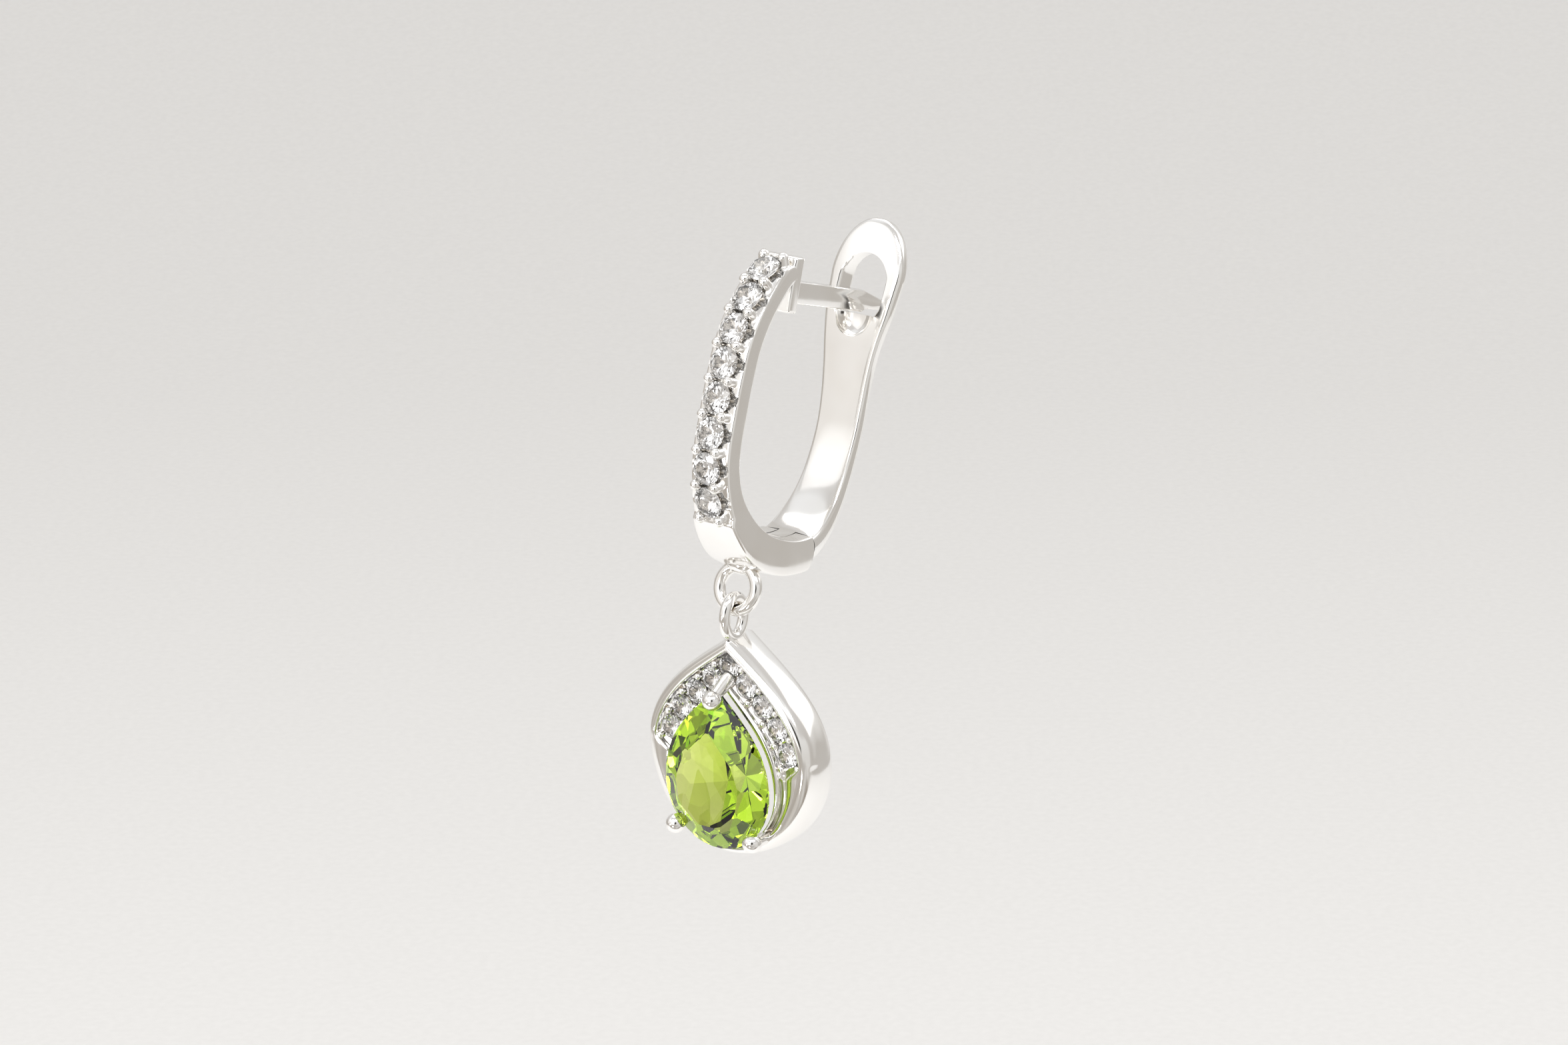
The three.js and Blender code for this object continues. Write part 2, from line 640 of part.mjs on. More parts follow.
// A claw: a straight wire from its foot to a ball that laps over the gem's edge
function claw(foot, ball) {
  const along = ball.clone().sub(foot);
  const wire = domedPost(CLAW_WIRE, along.length() + CLAW_WIRE / 2, foot, along.clone().normalize());
  const bead = new THREE.IcosahedronGeometry(CLAW_BALL, 2);
  return wire.add(toSolid(bead.translate(ball.x, ball.y, ball.z)));
}

function claws() {
  const girdle = haloFace - GEM_LIFT;
  const top = girdle - 0.5 * CLAW_BALL;
  const reach = GEM_WIDTH / 2 + CLAW_OUTSET;
  const lower = [-1, 1].map(side => {
    const x = side * reach * Math.cos(CLAW_ANGLE);
    const z = gemWidest - reach * Math.sin(CLAW_ANGLE);
    return claw(new THREE.Vector3(x, haloFace + 0.2, z), new THREE.Vector3(x, top, z));
  });
  const gemTip = innerPear[0].z;
  const upper = claw(
    new THREE.Vector3(0, haloFace + 0.1, gemTip + 1.2 * CLAW_WIRE),
    new THREE.Vector3(0, top - 0.3 * CLAW_BALL, gemTip - 1.5 * CLAW_WIRE));
  return [...lower, upper];
}

const gemPlace = new THREE.Vector3(0, haloFace - GEM_LIFT, gemWidest);

function pendantSetting() {
  let metal = toSolid(frameSkin());
  const loop = wireRing(LOOP_WIRE, Y, (LOOP_DEPTH - LOOP_WIRE) / 2,
    new THREE.Vector3(0, 0, 1), (LOOP_HEIGHT - LOOP_WIRE) / 2);
  metal = metal.add(toSolid(loop.translate(0, 0, loopTop - LOOP_HEIGHT / 2)));
  for (const solid of claws()) {
    metal = metal.add(solid);
  }
  for (let i = -HALO_STONES_A_SIDE - 0.5; i <= HALO_STONES_A_SIDE + 0.5; i++) {
    const middle = haloPoint(i);
    const before = haloPoint(i - 0.2);
    const along = haloPoint(i + 0.2).sub(before).normalize();
    for (const side of [-1, 1]) {
      const foot = middle.clone();
      foot.x += side * 0.4 * HALO_STONE * along.z;
      foot.z -= side * 0.4 * HALO_STONE * along.x;
      foot.y += HALO_BEAD_RISE;
      metal = metal.add(domedPost(HALO_BEAD, 2 * HALO_BEAD_RISE, foot, FORWARD));
    }
  }
  for (const place of haloPlaces) {
    metal = metal.subtract(toSolid(gemAt(roundGem(HALO_STONE + 2 * SEAT_GAP), place)));
  }
  const grown = 1 + 2 * SEAT_GAP / GEM_WIDTH;
  const seat = pearGem(GEM_WIDTH * grown, GEM_HEIGHT * grown);
  return metal.subtract(toSolid(seat.translate(gemPlace.x, gemPlace.y, gemPlace.z)));
}

const pendant = new THREE.Group();
pendant.position.set(0, RING_BACK, ringMiddle - ringRadius).applyEuler(hoop.rotation);
pendant.add(namedMesh('pendant_setting', toGeometry(pendantSetting()), silver));
const gem = namedMesh('peridot', pearGem(GEM_WIDTH, GEM_HEIGHT), greenStone);
gem.position.copy(gemPlace);
pendant.add(gem);
haloPlaces.forEach((place, i) => {
  const stone = namedMesh(`halo_stone_${i + 1}`, roundGem(HALO_STONE), whiteStone);
  stone.quaternion.setFromUnitVectors(Y, place.outward);
  stone.position.copy(place.point);
  pendant.add(stone);
});

const earring = new THREE.Group();
earring.add(hoop, pendant);

export default earring;
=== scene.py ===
import json
import math

import bmesh
import bpy
import numpy as np
from mathutils import Matrix, Vector


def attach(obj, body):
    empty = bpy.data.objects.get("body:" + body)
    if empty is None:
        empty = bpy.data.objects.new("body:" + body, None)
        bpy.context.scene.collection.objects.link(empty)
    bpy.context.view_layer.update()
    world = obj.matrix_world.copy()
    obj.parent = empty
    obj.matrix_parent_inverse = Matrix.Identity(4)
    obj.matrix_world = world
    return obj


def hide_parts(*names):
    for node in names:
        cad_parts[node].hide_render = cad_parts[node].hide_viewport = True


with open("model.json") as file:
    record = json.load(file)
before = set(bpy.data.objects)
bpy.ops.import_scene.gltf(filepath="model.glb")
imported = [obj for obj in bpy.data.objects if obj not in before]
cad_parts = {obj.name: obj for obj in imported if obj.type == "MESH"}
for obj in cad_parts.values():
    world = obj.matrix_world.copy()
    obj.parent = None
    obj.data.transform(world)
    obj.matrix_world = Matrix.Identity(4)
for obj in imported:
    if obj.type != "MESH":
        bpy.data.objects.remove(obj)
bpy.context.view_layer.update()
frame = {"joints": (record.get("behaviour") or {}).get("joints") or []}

# Shapes are worked out in millimetres, in the hoop's or the pendant's own frame, and then placed.
MM = 0.001
TURN = 2 * math.pi

# Hoop
HOOP_LEAN = math.radians(16)
FRONT_REACH = 5.1
BACK_REACH = 2.65
INNER_DROP = 10.4
BAR_WIDTH = 2.0
BAR_THICKNESS = 1.05
BAR_BEVEL = 0.14
HEAD_WIDTH = 3.7
HEAD_RISE = 3.65
LEVER_THICKNESS = 1.0

# Ear post and stop plate
POST_WIRE = 0.95
POST_OVERHANG = 1.65
POST_TAPER = 1.9
POST_NOTCH = 0.16
POST_ROOT = 0.1
POST_BEVEL = 0.07
PLATE_THICKNESS = 0.6
PLATE_INSET = 1.6
PLATE_RISE = 1.54
PLATE_DROP = 0.88
PLATE_INDENT = 0.02
PLATE_SLOPE = 0.03
PLATE_BEVEL = 0.13
PLATE_FRONT = PLATE_INSET - FRONT_REACH
PLATE_BACK = PLATE_FRONT + PLATE_THICKNESS

# Slot in the lever's head. The depths of its rings are shares of the lever's thickness, as is the lip.
SLOT_WIDTH = 2.3
SLOT_RISE = 2.05
SLOT_GAP = 0.12
SLOT_FOOT_WIDTH = 0.8 * SLOT_WIDTH
SLOT_CORNER_RISE = 0.15 * SLOT_WIDTH
SLOT_FLARE = 0.16
SLOT_LIP = 0.26
SLOT_DEPTHS = (-0.6, -0.12, 0.0, 0.06, 0.14, 0.26, 0.5, 0.74, 0.86, 0.94, 1.0, 1.12, 1.6)
SCOOP_MIDDLE = 0.95 * BACK_REACH
SCOOP_SIZE = (0.42 * SLOT_WIDTH, 0.5 * LEVER_THICKNESS, 1.0)

# Hinge
HINGE_FRONT = 0.55
HINGE_SINK = 0.58
SEAM_RADIUS = 1.26
TONGUE_RADIUS = 0.7
TONGUE_WIDTH = 0.85
PIN_RADIUS = 0.32
HINGE_GAP = 0.05

# Stones
BAR_STONES = 8
BAR_STONE = 1.4
BAR_STONE_GAP = 0.075
FIRST_STONE = 1.0
HALO_STONES_A_SIDE = 4
HALO_STONE = 1.1
HALO_STONE_GAP = 0.06
SEAT_GAP = 0.02
SCALLOP_RADIUS = 0.54
SCALLOP_LIFT = 0.265
PAVE_SINK = 0.17
LEDGE_LENGTH = 0.28
STONE_SPIN = 0.7

# Bead prongs. The spread is a share of the stone, and the foot one of the bead's radius.
BAR_BEAD = 0.25
BAR_BEAD_RISE = 0.34
BAR_BEAD_SPREAD = 0.36
BAR_BEAD_FOOT = 1.15
HALO_BEAD = 0.155
HALO_BEAD_RISE = 0.24
HALO_BEAD_SPREAD = 0.4
HALO_BEAD_FOOT = 1.2

# Rings that join the two halves
RING_WIRE = 0.55
RING_WIDTH = 2.45
RING_FRONT = 2.4
RING_SOLDER = 0.36
SOLDER_RISE = 0.05
SOLDER_SIZE = (0.72, 0.46, 0.42)
LOOP_WIRE = 0.5
LOOP_HEIGHT = 2.25
LOOP_DEPTH = 1.8
LINK_GAP = 0.05

# Pendant
FRAME_WIDTH = 8.8
FRAME_HEIGHT = 9.8
FRAME_DEPTH = 2.1
FRAME_FOOT_SHARE = 0.45
LOOP_SOLDER = 0.4
GEM_WIDTH = 5.5
GEM_HEIGHT = 7.1
GEM_FOOT = 0.5
GEM_FOOT_SHARE = 0.39
GEM_LIFT = 0.85
RIM_LIFT = 0.32
COLLAR_LIFT = 0.3
PLUMB_SHIFT = 0.34

# Claws of the peridot. The wire and the ball are radii, and the lifts are shares of the ball's.
CLAW_WIRE = 0.28
CLAW_BALL = 0.43
CLAW_ANGLE = math.radians(45)
CLAW_OUTSET = 0.18
CLAW_SINK = 0.2
CLAW_LIFT = 0.62
UPPER_CLAW_SINK = 0.1
UPPER_CLAW_LIFT = 0.82
UPPER_CLAW_FOOT = 1.15
UPPER_CLAW_START = 1.3 * CLAW_WIRE
UPPER_CLAW_END = 1.5 * CLAW_WIRE

# Camera at the photograph's angle
PHOTO_WIDTH = 2352
PHOTO_HEIGHT = 1568
CAMERA_AZIMUTH = math.radians(37.5)
CAMERA_ELEVATION = math.radians(17)
CAMERA_DISTANCE = 0.241
PIXELS_PER_MM = 35.3
POST_PIXEL = (1232, 443)
SENSOR_WIDTH = 36.0

# Stage, in metres
EARRING_MIDDLE = Vector((0, 0, -0.011))
FLOOR_DROP = 0.2


# Curves

def hermite(start, end, leave, arrive, share):
    """Point on a cubic between two points with the given directions."""
    square = share * share
    cube = square * share
    return ((2 * cube - 3 * square + 1) * start + (cube - 2 * square + share) * leave
            + (3 * square - 2 * cube) * end + (cube - square) * arrive)


def spline(points, share, centripetal=True):
    """Point on a smooth curve through the points, at a share of the way in even steps per point."""
    place = (len(points) - 1) * min(max(share, 0), 1)
    index = min(int(place), len(points) - 2)
    here, there = points[index], points[index + 1]
    before = points[index - 1] if index > 0 else 2 * points[0] - points[1]
    after = points[index + 2] if index + 2 < len(points) else 2 * points[-1] - points[-2]
    if not centripetal:
        return hermite(here, there, (there - before) / 2, (after - here) / 2, place - index)
    gap = np.linalg.norm(there - here) ** 0.5
    gap_before = np.linalg.norm(here - before) ** 0.5
    gap_after = np.linalg.norm(after - there) ** 0.5
    leave = ((here - before) / gap_before - (there - before) / (gap_before + gap)
             + (there - here) / gap) * gap
    arrive = ((there - here) / gap - (after - here) / (gap + gap_after)
              + (after - there) / gap_after) * gap
    return hermite(here, there, leave, arrive, place - index)


def direction(curve, share):
    """Unit direction of a curve, given as a function of its share."""
    step = 1e-3
    along = curve(min(share + step, 1)) - curve(max(share - step, 0))
    return along / np.linalg.norm(along)


def smooth_step(value, low, high):
    """0 under the low value and 1 over the high one, with a soft rise between them."""
    share = min(max((value - low) / (high - low), 0), 1)
    return share * share * (3 - 2 * share)


def bezier(points, share):
    """Point on a cubic with two ends and two handles."""
    rest = 1 - share
    return (rest ** 3 * points[0] + 3 * rest * rest * share * points[1]
            + 3 * rest * share * share * points[2] + share ** 3 * points[3])


def even_points(points, count, closed=False):
    """The same line with count points at even distances."""
    line = np.array(list(points) + ([points[0]] if closed else []))
    steps = np.linalg.norm(np.diff(line, axis=0), axis=1)
    place = np.concatenate([[0], np.cumsum(steps)])
    wanted = np.linspace(0, place[-1], count, endpoint=not closed)
    return np.stack([np.interp(wanted, place, line[:, k]) for k in range(line.shape[1])], axis=1)


def soften(ring, rounds):
    """Rounds the corners of a closed ring by cutting them again and again."""
    share = 0.25
    for _ in range(rounds):
        after = np.roll(ring, -1, axis=0)
        cut = np.empty((2 * len(ring), ring.shape[1]))
        cut[0::2] = ring + share * (after - ring)
        cut[1::2] = after + share * (ring - after)
        ring = cut
    return ring


# Meshes

def linked(name, data):
    """A new object in the scene, with the given mesh, lamp or lens."""
    piece = bpy.data.objects.new(name, data)
    bpy.context.scene.collection.objects.link(piece)
    return piece


def object_from(name, shape):
    """A new object with the mesh of a bmesh, which is freed."""
    mesh = bpy.data.meshes.new(name)
    shape.to_mesh(mesh)
    shape.free()
    return linked(name, mesh)


def new_object(name, points, faces):
    mesh = bpy.data.meshes.new(name)
    mesh.from_pydata([tuple(point) for point in points], [], [tuple(face) for face in faces])
    mesh.update()
    piece = linked(name, mesh)
    face_outwards(piece)
    return piece


def face_outwards(piece):
    shape = bmesh.new()
    shape.from_mesh(piece.data)
    bmesh.ops.recalc_face_normals(shape, faces=shape.faces)
    if shape.calc_volume(signed=True) < 0:
        bmesh.ops.reverse_faces(shape, faces=shape.faces)
    shape.to_mesh(piece.data)
    shape.free()


def skin(name, rings, loop=False):
    """A closed skin over rings of equal length, capped at both ends unless it is a loop."""
    count = len(rings[0])
    spans = len(rings) if loop else len(rings) - 1
    faces = []
    for i in range(spans):
        here = i * count
        there = (i + 1) % len(rings) * count
        for k in range(count):
            after = (k + 1) % count
            faces.append((here + k, here + after, there + after, there + k))
    if not loop:
        faces.append(range(count - 1, -1, -1))
        last = (len(rings) - 1) * count
        faces.append(range(last, last + count))
    return new_object(name, np.concatenate(rings), faces)


def lathe(name, profile, at, along, steps):
    """A round solid whose profile rows are radius and height, standing at a point along a direction."""
    rings = []
    for radius, height in profile:
        angles = np.arange(steps) / steps * TURN
        flat = np.full(steps, height)
        rings.append(np.stack([radius * np.cos(angles), radius * np.sin(angles), flat], axis=1))
    turn = np.array(Vector((0, 0, 1)).rotation_difference(Vector(along)).to_matrix())
    return skin(name, [ring @ turn.T + np.array(at) for ring in rings])


def dome_profile(radius, height, foot_share):
    """A post that ends in a half ball, wider at its foot by the given share."""
    profile = [(foot_share * radius, 0), (radius, height - radius)]
    rows = 7
    for i in range(1, rows):
        angle = i / rows * TURN / 4
        profile.append((radius * math.cos(angle), height - radius + radius * math.sin(angle)))
    return profile


def cross_pin(name, radius, length, y, z, steps=96):
    """A cylinder along X."""
    profile = [(radius, 0), (radius, length)]
    return lathe(name, profile, (-length / 2, y, z), (1, 0, 0), steps)


def block(name, width, y_span, z_span):
    corners = [(x, y, z) for x in (-width / 2, width / 2) for y in y_span for z in z_span]
    faces = [(0, 1, 3, 2), (4, 6, 7, 5), (0, 4, 5, 1), (2, 3, 7, 6), (0, 2, 6, 4), (1, 5, 7, 3)]
    return new_object(name, corners, faces)


def side_extrusion(name, outline, width):
    """A closed outline of (y, z) points, made solid across X."""
    rings = [np.array([(x, y, z) for y, z in outline]) for x in (-width / 2, width / 2)]
    return skin(name, rings)


def wire_ring(name, wire, across, radius_across, up, radius_up, middle):
    """A closed oval of round wire."""
    across, up, middle = np.array(across, float), np.array(up, float), np.array(middle, float)
    side = np.cross(across, up)
    steps, sides = 96, 20
    angles = np.arange(sides) / sides * TURN
    rings = []
    for i in range(steps):
        turn = i / steps * TURN
        centre = middle + across * radius_across * math.cos(turn) + up * radius_up * math.sin(turn)
        outward = across * radius_up * math.cos(turn) + up * radius_across * math.sin(turn)
        outward /= np.linalg.norm(outward)
        round_wire = np.outer(np.cos(angles), outward) + np.outer(np.sin(angles), side)
        rings.append(centre + wire / 2 * round_wire)
    return skin(name, rings, loop=True)


def ball(name, radius, middle, stretch=(1, 1, 1), subdivisions=4):
    shape = bmesh.new()
    bmesh.ops.create_icosphere(shape, subdivisions=subdivisions, radius=radius)
    for vertex in shape.verts:
        vertex.co = Vector(c * s + m for c, s, m in zip(vertex.co, stretch, middle))
    return object_from(name, shape)


def apply_modifiers(piece):
    bpy.context.view_layer.update()
    graph = bpy.context.evaluated_depsgraph_get()
    mesh = bpy.data.meshes.new_from_object(piece.evaluated_get(graph))
    piece.modifiers.clear()
    old = piece.data
    piece.data = mesh
    bpy.data.meshes.remove(old)


def remove(piece):
    mesh = piece.data
    bpy.data.objects.remove(piece)
    bpy.data.meshes.remove(mesh)


def combine(target, tools, operation):
    """Joins tools to a target or cuts them out of it. Tools in one call do not touch each other."""
    tool = join_shells(tools)
    change = target.modifiers.new(operation, "BOOLEAN")
    change.operation = operation
    change.solver = "EXACT"
    change.object = tool
    apply_modifiers(target)
    remove(tool)
    return target


def join_shells(pieces):
    """One object with the skins of all pieces, which are removed."""
    if len(pieces) == 1:
        return pieces[0]
    shape = bmesh.new()
    for piece in pieces:
        shape.from_mesh(piece.data)
        remove(piece)
    return object_from("shells", shape)


def bevel(piece, width, angle, segments):
    change = piece.modifiers.new("bevel", "BEVEL")
    change.width = width
    change.segments = segments
    change.limit_method = "ANGLE"
    change.angle_limit = math.radians(angle)
    apply_modifiers(piece)
    return piece


# Places

PENDANT_PIVOT = next(Vector(joint["pos_m"]) for joint in frame["joints"] if joint["child"] == "pendant")
HOOP_PLACE = Matrix.Rotation(-HOOP_LEAN, 4, "X") @ Matrix.Scale(MM, 4)
PENDANT_PLACE = Matrix.Translation(PENDANT_PIVOT) @ Matrix.Scale(MM, 4)
HINGE = (-HINGE_FRONT, -INNER_DROP - HINGE_SINK)


def settle(piece, node, body, place, material, smooth_angle=35):
    """Puts a finished mesh in place of a node. With a smooth angle of 0 it keeps its flat facets."""
    tidy_mesh(piece)
    piece.data.transform(place)
    piece.name = node + "_fine"
    piece.data.name = piece.name
    piece.data.materials.clear()
    piece.data.materials.append(material)
    if smooth_angle:
        piece.data.shade_smooth()
        piece.data.set_sharp_from_angle(angle=math.radians(smooth_angle))
    else:
        piece.data.shade_flat()
    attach(piece, body)
    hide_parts(node)


def tidy_mesh(piece):
    """Drops the doubled points, loose edges and flat faces that a cut leaves, and closes its gaps."""
    shape = bmesh.new()
    shape.from_mesh(piece.data)
    near, widest_gap = 1e-4, 5e-3
    bmesh.ops.remove_doubles(shape, verts=shape.verts, dist=near)
    bmesh.ops.dissolve_degenerate(shape, edges=shape.edges, dist=near)
    stray = [vertex for vertex in shape.verts if not vertex.link_faces]
    bmesh.ops.delete(shape, geom=stray, context="VERTS")
    rim = [vertex for vertex in shape.verts if vertex.is_boundary]
    if rim:
        bmesh.ops.remove_doubles(shape, verts=rim, dist=widest_gap)
        gaps = [edge for edge in shape.edges if edge.is_boundary]
        bmesh.ops.holes_fill(shape, edges=gaps, sides=0)
        bmesh.ops.recalc_face_normals(shape, faces=shape.faces)
    shape.to_mesh(piece.data)
    shape.free()


# Cut stones

def facet_gem(name, planes, reach):
    """A cut stone: a block from which every facet's plane takes what lies outside it."""
    shape = bmesh.new()
    bmesh.ops.create_cube(shape, size=2 * reach)
    for point, outward in planes:
        everything = shape.verts[:] + shape.edges[:] + shape.faces[:]
        bmesh.ops.bisect_plane(shape, geom=everything, dist=1e-7, plane_co=point, plane_no=outward,
                               clear_outer=True)
        rim = [edge for edge in shape.edges if edge.is_boundary]
        if rim:
            bmesh.ops.contextual_create(shape, geom=rim)
    bmesh.ops.recalc_face_normals(shape, faces=shape.faces)
    return object_from(name, shape)


# Round brilliant in shares of its diameter. The table faces +Z and the girdle is at z = 0.
TABLE_HEIGHT = 0.155
TABLE_EDGE = 0.262
GIRDLE_HALF = 0.012
BRILLIANT_FACETS = [
    {"count": 8, "turn": 0.0, "radius": 0.5, "height": GIRDLE_HALF, "slope": 34.5},
    {"count": 16, "turn": 0.5, "radius": 0.4925, "height": GIRDLE_HALF, "slope": 42.0},
    {"count": 8, "turn": 0.5, "radius": TABLE_EDGE, "height": TABLE_HEIGHT, "slope": 21.0},
    {"count": 32, "turn": 0.0, "radius": 0.498, "height": 0.0, "slope": 90.0},
    {"count": 8, "turn": 0.0, "radius": 0.5, "height": -GIRDLE_HALF, "slope": -40.8},
    {"count": 16, "turn": 0.5, "radius": 0.4925, "height": -GIRDLE_HALF, "slope": -42.3},
]


def round_gem(name, diameter):
    planes = [(Vector((0, 0, TABLE_HEIGHT * diameter)), Vector((0, 0, 1)))]
    for row in BRILLIANT_FACETS:
        slope = math.radians(row["slope"])
        for k in range(row["count"]):
            turn = (k + row["turn"]) / row["count"] * TURN
            flat = Vector((math.cos(turn), math.sin(turn), 0))
            point = flat * row["radius"] * diameter + Vector((0, 0, row["height"] * diameter))
            rise = Vector((0, 0, math.copysign(math.cos(slope), slope)))
            planes.append((point, flat * abs(math.sin(slope)) + rise))
    return facet_gem(name, planes, diameter)


def seat_cutter(name, diameter, at, along):
    """The room of a round stone with its gap: cone, girdle and crown."""
    grown = diameter + 2 * SEAT_GAP
    culet = 0.02
    profile = [
        (culet, -0.45 * grown),
        (0.5 * grown, -0.02 * grown),
        (0.5 * grown, 0.02 * grown),
        (0.28 * grown, 0.17 * grown),
    ]
    return lathe(name, profile, at, along, 48)


# Ends and handles of a pear's flank, as shares of half its width and of its height over the widest line
PEAR_FLANK = np.array([(0, 1), (0.44, 0.74), (1, 0.48), (1, 0)])


def pear_outline(width, height, foot_share, count):
    """Pear outline from its tip round by +X, with the widest line at z = 0."""
    half = width / 2
    foot = foot_share * height
    flank = PEAR_FLANK * (half, height - foot)
    steps = 60
    right = [bezier(flank, i / steps) for i in range(steps)]
    right += [np.array((half * math.cos(angle), -foot * math.sin(angle)))
              for angle in np.linspace(0, TURN / 4, steps)]
    left = [point * np.array((-1, 1)) for point in right[-2:0:-1]]
    return even_points(right + left, count, closed=True)


# Pear stone. The girdle is at z = 0 and the table faces +Z, in millimetres from the stone's heart.
PEAR_TABLE = 0.74
PEAR_GIRDLE = 0.05
PEAR_CROWN_PEAK = 1.72
PEAR_BREAK = 1.14
PEAR_CULET = 2.35
PEAR_MAINS = 10

# Facets that repeat with the mains, and facets that repeat twice as often. Each starts at a step of the
# outline shrunk to a share, at a height. Its plane goes on to a peak over or under the stone's heart.
PEAR_MAIN_ROWS = [
    {"step": 0, "share": 1.0, "height": PEAR_GIRDLE, "peak": PEAR_CROWN_PEAK},
    {"step": 2, "share": 0.6, "height": PEAR_TABLE, "peak": PEAR_TABLE + 0.62},
    {"step": 0, "share": 1.0, "height": -PEAR_GIRDLE, "peak": -1.3 * PEAR_CULET},
    {"step": 2, "share": 1.0, "height": -PEAR_GIRDLE, "peak": -1.36 * PEAR_CULET},
    {"step": 2, "share": 0.62, "height": -PEAR_BREAK, "peak": -PEAR_CULET},
]
PEAR_HALF_ROWS = [
    {"step": 1, "share": 1.0, "height": PEAR_GIRDLE, "peak": 1.3 * PEAR_CROWN_PEAK},
    {"step": 1, "share": 1.0, "height": -PEAR_GIRDLE, "peak": -1.7 * PEAR_CULET},
]


def pear_gem(name):
    """Pear modified brilliant: facets whose planes meet over and under the stone's heart."""
    outline = pear_outline(GEM_WIDTH, GEM_HEIGHT, GEM_FOOT_SHARE, 4 * PEAR_MAINS)
    count = len(outline)
    planes = [(Vector((0, 0, PEAR_TABLE)), Vector((0, 0, 1)))]

    def add(step, share, height, peak=None):
        """A facet along the outline, which stands upright where it has no peak."""
        before, here, after = (outline[(step + k) % count] for k in (-1, 0, 1))
        along = Vector((*(after - before), 0)).normalized()
        point = Vector((*(here * share), height))
        rise = Vector((0, 0, 1)) if peak is None else Vector((0, 0, peak)) - point
        outward = along.cross(rise).normalized()
        if outward.dot(Vector((*here, 0))) < 0:
            outward.negate()
        planes.append((point, outward))

    for every, rows in ((4, PEAR_MAIN_ROWS), (2, PEAR_HALF_ROWS)):
        for start in range(0, count, every):
            for row in rows:
                add(start + row["step"], row["share"], row["height"], row["peak"])
    for step in range(count):
        add(step, 1.0, 0.0)
    return facet_gem(name, planes, GEM_HEIGHT)


# Hoop

# Sections of the front bar from the stop plate round to the hinge, as shares of the hoop's sizes
BAR_SECTIONS = [
    {"reach": 0.62, "drop": -0.045, "thick": 0.9, "wide": 1.0},
    {"reach": 0.68, "drop": -0.03, "thick": 1.0, "wide": 1.0},
    {"reach": 0.775, "drop": 0.034, "thick": 1.0, "wide": 1.0},
    {"reach": 0.882, "drop": 0.13, "thick": 1.0, "wide": 1.0},
    {"reach": 0.96, "drop": 0.245, "thick": 1.0, "wide": 1.0},
    {"reach": 0.99, "drop": 0.375, "thick": 1.0, "wide": 1.0},
    {"reach": 1.0, "drop": 0.519, "thick": 1.0, "wide": 1.0},
    {"reach": 1.0, "drop": 0.654, "thick": 1.0, "wide": 1.0},
    {"reach": 0.968, "drop": 0.75, "thick": 1.0, "wide": 1.02},
    {"reach": 0.873, "drop": 0.846, "thick": 1.08, "wide": 1.08},
    {"reach": 0.706, "drop": 0.928, "thick": 1.3, "wide": 1.2},
    {"reach": 0.51, "drop": 0.98, "thick": 1.48, "wide": 1.32},
    {"reach": 0.275, "drop": 1.0, "thick": 1.52, "wide": 1.38},
    {"reach": 0.06, "drop": 0.996, "thick": 1.45, "wide": 1.4},
    {"reach": -0.18, "drop": 0.965, "thick": 1.4, "wide": 1.38},
]

# Sections of the lever from the hinge up to the middle of its head
LEVER_SECTIONS = [
    {"reach": -0.4, "drop": 1.0, "thick": 1.52, "wide": 0.75},
    {"reach": -0.1, "drop": 0.996, "thick": 1.52, "wide": 0.755},
    {"reach": 0.2, "drop": 0.972, "thick": 1.48, "wide": 0.75},
    {"reach": 0.43, "drop": 0.925, "thick": 1.38, "wide": 0.72},
    {"reach": 0.66, "drop": 0.845, "thick": 1.2, "wide": 0.67},
    {"reach": 0.83, "drop": 0.75, "thick": 1.05, "wide": 0.63},
    {"reach": 0.94, "drop": 0.64, "thick": 0.95, "wide": 0.61},
    {"reach": 1.0, "drop": 0.53, "thick": 0.92, "wide": 0.61},
    {"reach": 1.0, "drop": 0.42, "thick": 0.92, "wide": 0.63},
    {"reach": 0.97, "drop": 0.29, "thick": 0.95, "wide": 0.69},
    {"reach": 0.95, "drop": 0.17, "thick": 1.0, "wide": 0.79},
    {"reach": 0.98, "drop": 0.04, "thick": 1.08, "wide": 0.92},
    {"reach": 1.05, "drop": -0.11, "thick": 1.12, "wide": 1.0},
]

# Half of the lever's section, as shares of half its width and of its thickness
LEVER_CORNERS = [(0.9, 0), (1, 0.22), (0.98, 0.58), (0.72, 0.9), (0.3, 1)]
BAR_STATIONS = 260
LEVER_STATIONS = 170

# End of the lever's head: how far it turns in, what is left of its thickness there, how late its edge
# rounds off, and the part of the lost thickness that it loses inside
HEAD_STATIONS = 60
HEAD_TURN = 0.497 * math.pi
HEAD_END_THICKNESS = 0.55
HEAD_EDGE_POWER = 8
HEAD_INNER_SHARE = 0.4


class Run:
    """Where a bar goes, and how wide and thick it is there."""

    def __init__(self, table, reach, thickness, width):
        self.inner = [np.array((0, row["reach"] * reach, -row["drop"] * INNER_DROP)) for row in table]
        self.size = [np.array((row["wide"] * width, row["thick"] * thickness)) for row in table]

    def point(self, share):
        return spline(self.inner, share)

    def outward(self, share):
        along = direction(self.point, share)
        return np.array((0, along[2], -along[1]))

    def sizes(self, share):
        return spline(self.size, share, centripetal=False)

    def face(self, share):
        return self.point(share) + self.outward(share) * self.sizes(share)[1]


bar_run = Run(BAR_SECTIONS, -FRONT_REACH, BAR_THICKNESS, BAR_WIDTH)
lever_run = Run(LEVER_SECTIONS, BACK_REACH, LEVER_THICKNESS, HEAD_WIDTH)


def bar_corners(half, thickness):
    return [
        (half - BAR_BEVEL / 2, 0),
        (half, BAR_BEVEL / 2),
        (half, thickness - BAR_BEVEL),
        (half - BAR_BEVEL, thickness),
    ]


